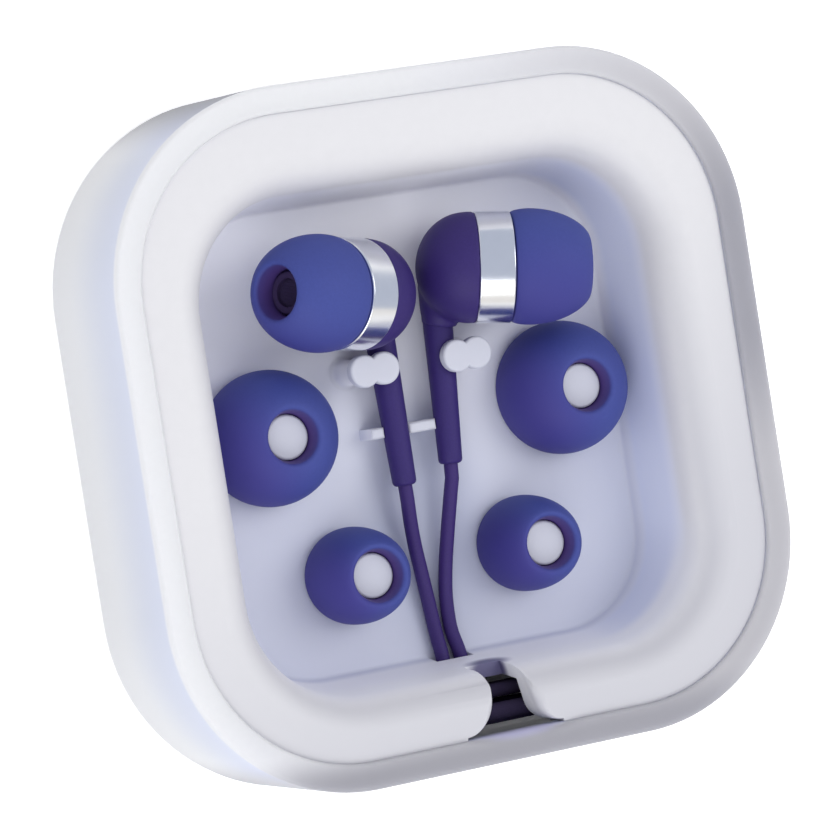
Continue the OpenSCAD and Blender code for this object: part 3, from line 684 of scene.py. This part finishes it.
def ease_shoulder(made):
    """Lifts the ring's outer shoulder and closes the seam beside it."""
    moved = 0
    for v in made.verts:
        x, y, z = v.co.x / MM, v.co.y / MM, v.co.z / MM - FLOOR
        u = min(1, max(0, (half_width(x, y) - RING_HALF + SHOULDER) / SHOULDER))
        near_top = min(1, max(0, (z - SHOULDER_FOOT) / SHOULDER_BLEND))
        lift = (SHOULDER_DROP - EASED_DROP) * (1 - math.sqrt(1 - u * u)) * near_top
        v.co += Vector((0, 0, lift * MM)) + outward(x, y) * SNUG * MM * u ** 6
        moved += lift > 0.01
    return moved


def shorten_rib(made):
    """Draws the free end of the cross rib in."""
    for v in made.verts:
        x, y, z = v.co / MM
        if abs(x - RIB_END) < SAME and abs(y) < RIB_REACH and z - FLOOR < RIB_TOP:
            v.co.x = RIB_END_EASED * MM


def soften_heads(made):
    """Rounds the top edges of what stands in the well."""
    chosen = []
    for e in made.edges:
        low = min(v.co.z for v in e.verts) / MM - FLOOR
        inside = max(half_width(v.co.x / MM, v.co.y / MM) for v in e.verts) < SOFT_REACH
        top = e.is_manifold and max(f.normal.z for f in e.link_faces) > FACING_UP
        if inside and low > SOFT_FROM and top and e.calc_face_angle_signed() > math.radians(MOULD_CORNER):
            chosen.append(e)
    return rounded(made, chosen, SOFT_EDGE)


print("the shoulder rises by up to", SHOULDER_DROP - EASED_DROP, "mm")

# %% [markdown]
# ## The case
# The frosted case is a low open box. Its rim has a crisp outer edge and a softer inner one, which widens
# into a larger round where the tray's ring is open. A bevel does the first. For the second the rim is cut
# across at a few places, and the points of the bevel are drawn away from the old corner, most of all in the
# middle.

# %% Reshaping the case
RIM_ROUND, NOTCH_ROUND, RIM_BAND = 0.4, 1.1, 0.4
NOTCH_CUTS = (-5.5, -3.5, -1.5, 0.9, 3.3, 5.3, 7.3)
CLOSE = 0.02


def soften_rim(made, rim_z):
    """Rounds the inner edge of the case's rim, next to the ring."""
    chosen = []
    for e in made.edges:
        level = all(abs(v.co.z / MM - rim_z) < CLOSE for v in e.verts)
        if level and all(abs(half_width(v.co.x / MM, v.co.y / MM) - RING_HALF) < RIM_BAND for v in e.verts):
            chosen.append(e)
    return rounded(made, chosen, RIM_ROUND)


def rounding_foot(made, rim_z):
    """How far out the rounding ends on the side of the case where the notch is."""
    side = [v.co / MM for v in made.verts if abs(v.co.x / MM) < CORNER + 0.1 and v.co.y < 0]
    return min(-v.y for v in side if abs(v.z - rim_z + RIM_ROUND) < 0.03 and -v.y > RING_HALF - 0.5)


def widen_rounding(made, rim_z):
    """Makes the rounding of the rim wider where the ring is open, and says how many points it moved."""
    rim_half = rounding_foot(made, rim_z)
    for x in NOTCH_CUTS:
        bmesh.ops.bisect_plane(made, geom=made.verts[:] + made.edges[:] + made.faces[:], dist=1e-7,
                               plane_co=(x * MM, 0, 0), plane_no=(1, 0, 0))
    middle, half = (NOTCH_CUTS[0] + NOTCH_CUTS[-1]) / 2, (NOTCH_CUTS[-1] - NOTCH_CUTS[0]) / 2
    moved = 0
    for v in made.verts:
        x, y, z = v.co / MM
        out, down = -y - rim_half, rim_z - z
        near = max(0, 1 - abs(x - middle) / half)
        on_rounding = -CLOSE < out < RIM_ROUND + CLOSE and -CLOSE / 2 < down < RIM_ROUND + CLOSE
        if near > 0 and on_rounding:
            wider = (NOTCH_ROUND / RIM_ROUND - 1) * min(1, 2 * near)
            v.co += Vector((0, -out * wider, -down * wider)) * MM
            moved += 1
    return moved


print("the rim's round grows from", RIM_ROUND, "to", NOTCH_ROUND, "mm")

# %% Case
case_made = welded("outer_case")
rim_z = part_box("outer_case")[1][2] / MM
print(soften_rim(case_made, rim_z), "edges of the rim rounded")
print(widen_rounding(case_made, rim_z), "points of the rim moved at the notch")
case_piece = new_piece("outer_case_moulded", to_mesh(case_made, "outer_case", frosted))
stand_in(shaded(case_piece, MOULD_CORNER), "outer_case")

# %% Tray
FITTINGS_REACH, HEADS_FROM, OFF_FLOOR, LEVEL = 18.5, 3.0, 0.05, 0.5
tray_made = welded("tray")
shorten_rib(tray_made)
print(ease_shoulder(tray_made), "points of the shoulder eased,", soften_heads(tray_made), "edges rounded")
tray_piece = new_piece("tray_moulded", to_mesh(tray_made, "tray", milky, fittings_shaded))
# the heads of what stands in the well get the darker copy of the finish: painted shade
for face in tray_piece.data.polygons:
    x, y, z = face.center / MM
    head = z > FLOOR + HEADS_FROM or (z > FLOOR + OFF_FLOOR and face.normal.z > LEVEL)
    face.material_index = int(half_width(x, y) < FITTINGS_REACH and head)
stand_in(shaded(tray_piece, MOULD_CORNER), "tray")

# %% [markdown]
# ## Turned pieces
# Ear tips, metal rings and the posts of the clips are bodies of revolution. The section is drawn once as
# points and turned round the axis, which gives a clean, closed mesh with even faces. Each point also keeps
# two numbers for the finish: how far across the piece it lies, and how deep inside.

# %% Turning a section
ACROSS_Y = 0.35


def turned(section, place, faces=96, deep=None):
    """Turns a closed section of (radius, height) points round Z. deep says how far in each point lies."""
    made = bmesh.new()
    across = made.verts.layers.float.new("across")
    inside = made.verts.layers.float.new("deep")
    rings = []
    for i, (r, z) in enumerate(section):
        rings.append([made.verts.new((r * math.cos(t), r * math.sin(t), z))
                      for t in (2 * math.pi * k / faces for k in range(faces))])
        for v in rings[-1]:
            v[inside] = deep[i] if deep else 0.0
    for i, ring in enumerate(rings):
        after = rings[(i + 1) % len(rings)]
        for k in range(faces):
            n = (k + 1) % faces
            face = made.faces.new((ring[k], ring[n], after[n], after[k]))
            face.smooth = True
    bmesh.ops.recalc_face_normals(made, faces=made.faces)
    widest = max(r for r, z in section)
    turn = place.to_3x3()
    for v in made.verts:
        out = turn @ Vector((v.co.x, v.co.y, 0)) / widest
        v[across] = out.x + ACROSS_Y * out.y
        v.co = (place @ v.co) * MM
    return made


def arc(cx, cz, a, b, first, last, steps):
    """Points on a stretch of an ellipse, its angles in degrees."""
    angles = [math.radians(first + (last - first) * i / steps) for i in range(steps + 1)]
    return [(cx + a * math.cos(t), cz + b * math.sin(t)) for t in angles]


print("a quarter circle in three steps:", [(round(r, 2), round(z, 2)) for r, z in arc(0, 0, 1, 1, 0, 90, 3)])

# %% [markdown]
# ## Posts of the clips
# Two round posts stand on the tray's floor beside the strain reliefs and keep the earphones in place. A
# moulded post has a small fillet at its foot, because a sharp inner corner would tear as the part leaves
# the mould. A fillet is easy in a turned section and hard on a finished solid, so the posts are turned and
# stand over the tray's own.

# %% Posts
POST_X, POST_Y, POST_R, POST_H, POST_FOOT, POST_CORE, POST_FACES = 5.9, 5.2, 1.22, 3.82, 0.45, 0.5, 64
foot = [(POST_R + POST_FOOT * (1 - math.cos(t)), POST_FOOT * (1 - math.sin(t)))
        for t in (math.radians(a) for a in range(90, -1, -15))]
post = foot + [(POST_R, POST_H), (POST_CORE, POST_H), (POST_CORE, 0)]
for side, sign in (("left", -1), ("right", 1)):
    place = Matrix.Translation((sign * POST_X, POST_Y, FLOOR))
    piece = new_piece("clip_post_" + side, to_mesh(turned(post, place, POST_FACES), "clip_post", milky))
    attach(shaded(piece, SOFT_CORNER), frame["nodes"]["tray"]["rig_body"])
    print("clip_post_" + side, len(piece.data.polygons), "faces")

# %% [markdown]
# ## The ear tips
# An ear tip is a soft dome round a sleeve that grips the nozzle or the peg. Its section goes up the
# outside, over the rounded mouth, down the sleeve and back under the dome, so the hollow is real.

# %% Section of an ear tip
PEG_R, TIP_GAP, TIP_H = 2.13, 0.07, 7.5
MOUTH_R, MOUTH_ROUND, DOME_T, SLEEVE_T, WIDEST_Z = 2.48, 0.4, 0.6, 0.6, 1.8
HEM, DOME_POWER, CROWN_T, SLEEVE_END = 0.45, 1.35, 1.8, 0.5
MEDIUM_R, TIP_CLEAR = 5.5, 0.1


def tip_section(r):
    """The outside from the hem to the mouth, then down the sleeve, and back up under the dome."""
    bore, base, lip = PEG_R + TIP_GAP, r - HEM, MOUTH_R + MOUTH_ROUND
    sleeve = bore + SLEEVE_T
    rise, under = TIP_H - WIDEST_Z, TIP_H - CROWN_T - WIDEST_Z
    skirt = [(base + (r - base) * math.sin(t), WIDEST_Z * (1 - math.cos(t)))
             for t in (math.radians(a) for a in range(0, 90, 15))]
    dome = [(lip + (r - lip) * math.cos(t) ** DOME_POWER, WIDEST_Z + rise * math.sin(t))
            for t in (math.radians(a) for a in range(0, 90, 5))]
    outside = skirt + dome + arc(lip, TIP_H - MOUTH_ROUND, MOUTH_ROUND, MOUTH_ROUND, 90, 180, 6)
    bore_line = [(bore + 0.05, TIP_H - 1.1), (bore, TIP_H - 1.6), (bore, SLEEVE_END), (sleeve, SLEEVE_END)]
    hollow = [(sleeve + (r - DOME_T - sleeve) * math.cos(t), WIDEST_Z + under * math.sin(t))
              for t in (math.radians(a) for a in range(90, -1, -10))]
    deep = [0.0] * (len(outside) - 4) + [0.1, 0.3, 0.5, 0.7] + [1.0] * 4 + [0.0] * (len(hollow) + 1)
    return outside + bore_line + hollow + [(base - DOME_T + 0.1, 0)], deep


print("an ear tip's section has", len(tip_section(MEDIUM_R)[0]), "points")

# %% [markdown]
# ## Where the tips stand
# Two tips are on the earphones, which lie back to back and point outwards and a little up. Four spare ones
# stand on pegs. An earphone's place is one matrix, so its ring, tip and screen share it and can't drift
# apart.

# %% Tips in their places
RING_AT = {"left": (-5.95, 12.42, 5.55), "right": (6.41, 13.17, 5.55)}
TURN = {"left": 172, "right": -8.5}
TILT = {"left": 22.5, "right": 19}
BAND_R, BAND_W, BAND_T = 5.3, 3.4, 0.45


def on_ear(side, ahead=0.0):
    """The place of a piece on an earphone's axis, ahead of the rear edge of its metal ring."""
    at = Vector(RING_AT[side]) + Vector((0, 0, FLOOR))
    about_z = Matrix.Rotation(math.radians(TURN[side]), 4, "Z")
    about_y = Matrix.Rotation(math.radians(90 - TILT[side]), 4, "Y")
    return Matrix.Translation(at) @ about_z @ about_y @ Matrix.Translation((0, 0, ahead))


def ear_tip(node, r, place):
    """One ear tip of a given radius, which stands for a solid one."""
    section, deep = tip_section(r)
    mesh = to_mesh(turned(section, place, deep=deep), node, silicone)
    stand_in(new_piece(node + "_moulded", mesh), node)
    print(node, "radius", r, "mm")


SPARES = (("large", 6.4, 15.45, 0.45), ("small", 4.6, 9.1, -13.6))
for side, sign in (("left", -1), ("right", 1)):
    ear_tip("ear_tip_" + side, MEDIUM_R, on_ear(side, BAND_W + TIP_CLEAR))
    for size, r, x, y in SPARES:
        ear_tip(f"spare_tip_{size}_{side}", r, Matrix.Translation((sign * x, y, FLOOR + TIP_CLEAR)))

# %% [markdown]
# ## Metal rings
# A polished metal ring hides the joint between the two halves of each housing. Metal shows its shape by
# what it reflects, so its edges need a small ease and its sides many faces. Both are cheap in a turned
# section.

# %% Metal rings
BAND_EASE, BAND_FACES = 0.16, 128
lower_edge = arc(BAND_R - BAND_EASE, BAND_EASE, BAND_EASE, BAND_EASE, -90, 0, 5)
upper_edge = arc(BAND_R - BAND_EASE, BAND_W - BAND_EASE, BAND_EASE, BAND_EASE, 0, 90, 5)
band = lower_edge + upper_edge + [(BAND_R - BAND_T, BAND_W), (BAND_R - BAND_T, 0)]
for side in ("left", "right"):
    mesh = to_mesh(turned(band, on_ear(side), BAND_FACES), "band", steel)
    piece = new_piece(f"metal_ring_{side}_turned", mesh)
    stand_in(shaded(piece, SOFT_CORNER), "metal_ring_" + side)
    print("metal_ring_" + side, len(mesh.polygons), "faces")

# %% [markdown]
# ## Rear housings
# Each rear housing is one moulding in which the dome flows into the neck that holds the strain relief. The
# solid has a hard crease there. A remesh turns it into small even squares, and a few rounds of smoothing
# away from the open rim let the crease run out, as a mould maker's blend would.

# %% Blending the neck into the dome
GRID, ROUNDS, OPEN_RIM = 0.16, 14, -0.7


def blended_housing(side):
    """A rear housing whose crease has run out."""
    node = "rear_housing_" + side
    piece = new_piece(node + "_blended", to_mesh(welded(node), node, violet))
    grid = piece.modifiers.new("grid", "REMESH")
    grid.mode, grid.voxel_size = "VOXEL", GRID * MM
    bpy.context.view_layer.update()
    mesh = bpy.data.meshes.new_from_object(piece.evaluated_get(bpy.context.evaluated_depsgraph_get()))
    piece.modifiers.remove(grid)
    made = bmesh.new()
    made.from_mesh(mesh)
    back = on_ear(side).inverted()
    dome = [v for v in made.verts if (back @ (v.co / MM)).z < OPEN_RIM]
    for _ in range(ROUNDS):
        bmesh.ops.smooth_vert(made, verts=dome, factor=0.5, use_axis_x=True, use_axis_y=True, use_axis_z=True)
    piece.data = to_mesh(made, node, violet)
    piece.data.shade_smooth()
    stand_in(piece, node)
    print(node, len(piece.data.polygons), "faces")


for side in ("left", "right"):
    blended_housing(side)

# %% [markdown]
# ## Pieces that keep the solids' shape
# The front housings, the strain reliefs and everything inside the drivers already have the right shape, so
# they only get a finish. A table says which finish and which material slot each one has.

# %% Front housings, strain reliefs and drivers
KEPT = (("front_housing_", dark_bore, "housing_plastic"), ("strain_relief_", violet, "cord_jacket"),
        ("driver_frame_", dull_steel, "driver_steel"), ("driver_yoke_", dull_steel, "driver_steel"),
        ("driver_plate_", dull_steel, "driver_steel"), ("driver_magnet_", dull_steel, "magnet_plating"),
        ("voice_coil_", copper, "coil_copper"), ("diaphragm_", film, "diaphragm_film"))
for side in ("left", "right"):
    for node, mat, slot_name in KEPT:
        dressed(node + side, mat)
    print(len(KEPT), "pieces dressed on the", side)

# %% [markdown]
# ## Nozzle screens
# A fine woven screen keeps dust out of each nozzle. The wires of a weave follow a rule, so Geometry Nodes
# make them: a grid is cut to a circle, a thin wire is swept along each of its edges, and a ring closes the
# rim. The place and the radius are measured on the solid that the screen stands for.

# %% A node tree that weaves a round screen
screen_tree, screen_in, screen_out, add, SCREEN = new_tree("woven_screen", [
    ("Radius", "NodeSocketFloat", 0.002), ("Wire", "NodeSocketFloat", 0.00004),
    ("Wires", "NodeSocketInt", 21)])
across = add("ShaderNodeMath", {0: screen_in.outputs["Radius"], 1: 2.0}, operation="MULTIPLY")
grid = add("GeometryNodeMeshGrid", {"Size X": across.outputs[0], "Size Y": across.outputs[0],
                                    "Vertices X": screen_in.outputs["Wires"],
                                    "Vertices Y": screen_in.outputs["Wires"]})
centre_gap = add("ShaderNodeVectorMath", {0: add("GeometryNodeInputPosition").outputs[0]}, operation="LENGTH")
beyond = add("ShaderNodeMath", {0: centre_gap.outputs["Value"], 1: screen_in.outputs["Radius"]},
             operation="GREATER_THAN")
disc = add("GeometryNodeDeleteGeometry", {"Geometry": grid.outputs["Mesh"], "Selection": beyond.outputs[0]})
wires = add("GeometryNodeMeshToCurve", {"Mesh": disc.outputs["Geometry"]})
wire = add("GeometryNodeCurvePrimitiveCircle", {"Resolution": 4, "Radius": screen_in.outputs["Wire"]})
rim = add("GeometryNodeCurvePrimitiveCircle", {"Resolution": 40, "Radius": screen_in.outputs["Radius"]})
both = add("GeometryNodeJoinGeometry")
for line in (wires, rim):
    rod = add("GeometryNodeCurveToMesh", {"Curve": line.outputs["Curve"], "Fill Caps": True,
                                          "Profile Curve": wire.outputs["Curve"]})
    screen_tree.links.new(rod.outputs["Mesh"], both.inputs["Geometry"])
real = add("GeometryNodeRealizeInstances", {"Geometry": both.outputs["Geometry"]})
coat = add("GeometryNodeSetMaterial", {"Geometry": real.outputs["Geometry"],
                                       "Material": screen_in.outputs["Finish"]})
screen_tree.links.new(coat.outputs["Geometry"], screen_out.inputs["Geometry"])
print("screen tree has", len(screen_tree.nodes), "nodes")

# %% Screens
WIRE_R, WIRES = 0.05, 21
for side in ("left", "right"):
    node = "nozzle_screen_" + side
    back = on_ear(side).inverted()
    points = [back @ (v.co / MM) for v in frame["nodes"][node].data.vertices]
    middle = (min(p.z for p in points) + max(p.z for p in points)) / 2
    reach = max(math.hypot(p.x, p.y) for p in points) - WIRE_R
    piece = baked(new_piece(node + "_woven"), screen_tree,
                  {SCREEN["Radius"]: reach * MM, SCREEN["Wire"]: WIRE_R * MM, SCREEN["Wires"]: WIRES,
                   SCREEN["Finish"]: dark_mesh})
    piece.data.transform(Matrix.Scale(MM, 4) @ on_ear(side, middle) @ Matrix.Scale(1 / MM, 4))
    stand_in(piece, node)
    print(node, "radius", round(reach, 2), "mm,", len(piece.data.polygons), "faces")

# %% [markdown]
# ## Cords, splitter and plug
# Each cord is swept along its route as a tube. The splitter joins the two thin cords and the plug ends the
# main one. What is wound round the tray gets painted shade, a darker and duller copy of the jacket, face by
# face.

# %% Splitter and plug
splitter = dressed("cord_splitter", jacket)
plug = [dressed("plug_body", violet), dressed("plug_sleeve", gold),
        dressed("plug_ring", gold), dressed("plug_tip", gold),
        dressed("plug_insulators", black)]
print("the plug has", len(plug), "pieces")

# %% Cords
WOUND_FROM, CORD_SIDES = 24.4, 16


def cord_piece(node):
    """One cord as a tube along its route, which stands for the solid cord."""
    route, diameter = ROUTES[node]
    mesh = bpy.data.meshes.new(node + "_jacket")
    mesh.from_pydata(route, [(i, i + 1) for i in range(len(route) - 1)], [])
    piece = new_piece(node + "_jacket", mesh)
    baked(piece, tube_tree, {TUBE["Radius"]: diameter / 2 * MM, TUBE["Sides"]: CORD_SIDES,
                             TUBE["Finish"]: jacket})
    # the wound part gets the darker copy of the jacket: painted shade
    piece.data.materials.append(shaded_wound_jacket)
    for face in piece.data.polygons:
        face.material_index = int(half_width(face.center.x / MM, face.center.y / MM) > WOUND_FROM)
    stand_in(piece, node)
    print(node, len(piece.data.polygons), "faces")


cord_piece("cord_left")
cord_piece("cord_right")
cord_piece("cord_main")

# %% [markdown]
# ## Floor
# The case lies on white paper. The floor shows as white to the camera and in reflections, but its glow
# doesn't reach the case as light, so the shadow under it stays. A mix by the kind of ray does that with one
# sheet.

# %% Floor
def seen_rays(nodes, links):
    """1 for camera, glossy and transmission rays, which see a backdrop, and 0 for rays that light."""
    rays = nodes.new("ShaderNodeLightPath")
    total = rays.outputs["Is Camera Ray"]
    for name in ("Is Glossy Ray", "Is Transmission Ray"):
        more = nodes.new("ShaderNodeMath")
        more.operation, more.use_clamp = "ADD", True
        links.new(total, more.inputs[0])
        links.new(rays.outputs[name], more.inputs[1])
        total = more.outputs["Value"]
    return total


REACH, SINK, PAPER, GLOW = 3.0, -0.0002, (0.9, 0.9, 0.9, 1), 0.5
corners = ((-REACH, -REACH), (REACH, -REACH), (REACH, REACH), (-REACH, REACH))
floor_mesh = bpy.data.meshes.new("floor")
floor_mesh.from_pydata([(x, y, SINK) for x, y in corners], [], [(0, 1, 2, 3)])
floor = new_piece("floor", floor_mesh)
paper = bpy.data.materials.new("white_paper")
paper.use_nodes = True
paper_nodes, paper_links = paper.node_tree.nodes, paper.node_tree.links
matt = paper_nodes["Principled BSDF"]
matt.inputs["Base Color"].default_value = PAPER
matt.inputs["Roughness"].default_value = 0.9
glow = paper_nodes.new("ShaderNodeEmission")
glow.inputs["Strength"].default_value = GLOW
both = paper_nodes.new("ShaderNodeAddShader")
choose = paper_nodes.new("ShaderNodeMixShader")
paper_links.new(matt.outputs["BSDF"], both.inputs[0])
paper_links.new(glow.outputs["Emission"], both.inputs[1])
paper_links.new(seen_rays(paper_nodes, paper_links), choose.inputs["Fac"])
paper_links.new(matt.outputs["BSDF"], choose.inputs[1])
paper_links.new(both.outputs["Shader"], choose.inputs[2])
paper_links.new(choose.outputs["Shader"], paper_nodes["Material Output"].inputs["Surface"])
floor_mesh.materials.append(paper)
print("floor", 2 * REACH, "m wide")

# %% [markdown]
# ## World
# A product is often shot in a pale room, which fills the shadows. Here the room is the world: white at the
# horizon, and overhead a cool grey on one side and a warm one on the other, which gives polished metal its
# bands. The light that it casts is plain, so the bands don't tint the plastics.

# %% World
WORLD_COLOUR, WORLD_LIGHT = (0.95, 0.96, 1.0, 1), 0.76
SEAM, HORIZON = (-0.52, -0.44), (0.1, 0.22)  # where the overhead halves meet, and where they begin
WARM, COOL, WHITE = (0.82, 0.79, 0.75), (0.46, 0.50, 0.60), (1.0, 1.0, 1.0)

world = bpy.data.worlds.new("pale_room")
bpy.context.scene.world = world
world.use_nodes = True
sky, sky_links = world.node_tree.nodes, world.node_tree.links
lit = sky["Background"]
lit.inputs["Color"].default_value = WORLD_COLOUR
lit.inputs["Strength"].default_value = WORLD_LIGHT
split = sky.new("ShaderNodeSeparateXYZ")
sky_links.new(sky.new("ShaderNodeTexCoord").outputs["Generated"], split.inputs["Vector"])


def sky_step(axis, start, end):
    """0 to 1 along an axis of the view direction."""
    step = sky.new("ShaderNodeMapRange")
    step.interpolation_type = "SMOOTHSTEP"
    step.inputs["From Min"].default_value, step.inputs["From Max"].default_value = start, end
    sky_links.new(split.outputs[axis], step.inputs["Value"])
    return step.outputs["Result"]


def sky_mix(fac, first, second):
    """A mix of two colours, or of a colour and the output of another mix."""
    mix = sky.new("ShaderNodeMix")
    mix.data_type = "RGBA"
    sky_links.new(fac, mix.inputs[MIX_FACTOR])
    for socket, value in ((mix.inputs[MIX_A], first), (mix.inputs[MIX_B], second)):
        if isinstance(value, tuple):
            socket.default_value = (*value, 1)
        else:
            sky_links.new(value, socket)
    return mix.outputs[MIX_RESULT]


overhead = sky_mix(sky_step("Y", *SEAM), WARM, COOL)
backdrop = sky.new("ShaderNodeBackground")
sky_links.new(sky_mix(sky_step("Z", *HORIZON), WHITE, overhead), backdrop.inputs["Color"])
pick = sky.new("ShaderNodeMixShader")
sky_links.new(seen_rays(sky, sky_links), pick.inputs["Fac"])
sky_links.new(lit.outputs["Background"], pick.inputs[1])
sky_links.new(backdrop.outputs["Background"], pick.inputs[2])
sky_links.new(pick.outputs["Shader"], sky["World Output"].inputs["Surface"])
print("world light", WORLD_LIGHT)

# %% [markdown]
# ## Lamps
# Two large round lamps give soft shadows. The key stands at the upper right, and a cooler fill at the lower
# left opens the side of the case that faces the camera. Both aim a little above the back of the case.

# %% Lamps
AIM = (0, 0, 0.01)


def lamp(name, place, size, watts, colour=(1, 1, 1)):
    """A round area lamp that looks at the middle of the case."""
    light = bpy.data.lights.new(name, "AREA")
    light.shape, light.size, light.energy, light.color = "DISK", size, watts, colour
    obj = bpy.data.objects.new(name, light)
    obj.location = place
    obj.rotation_euler = (Vector(AIM) - Vector(place)).to_track_quat("-Z", "Y").to_euler()
    bpy.context.scene.collection.objects.link(obj)
    print(name, watts, "W")


lamp("key", (0.37, 0.14, 0.66), 0.5, 1.15)
lamp("fill", (-0.36, -0.5, 0.5), 0.6, 1.7, (0.95, 0.97, 1.0))
bpy.context.scene.view_settings.view_transform = "Standard"
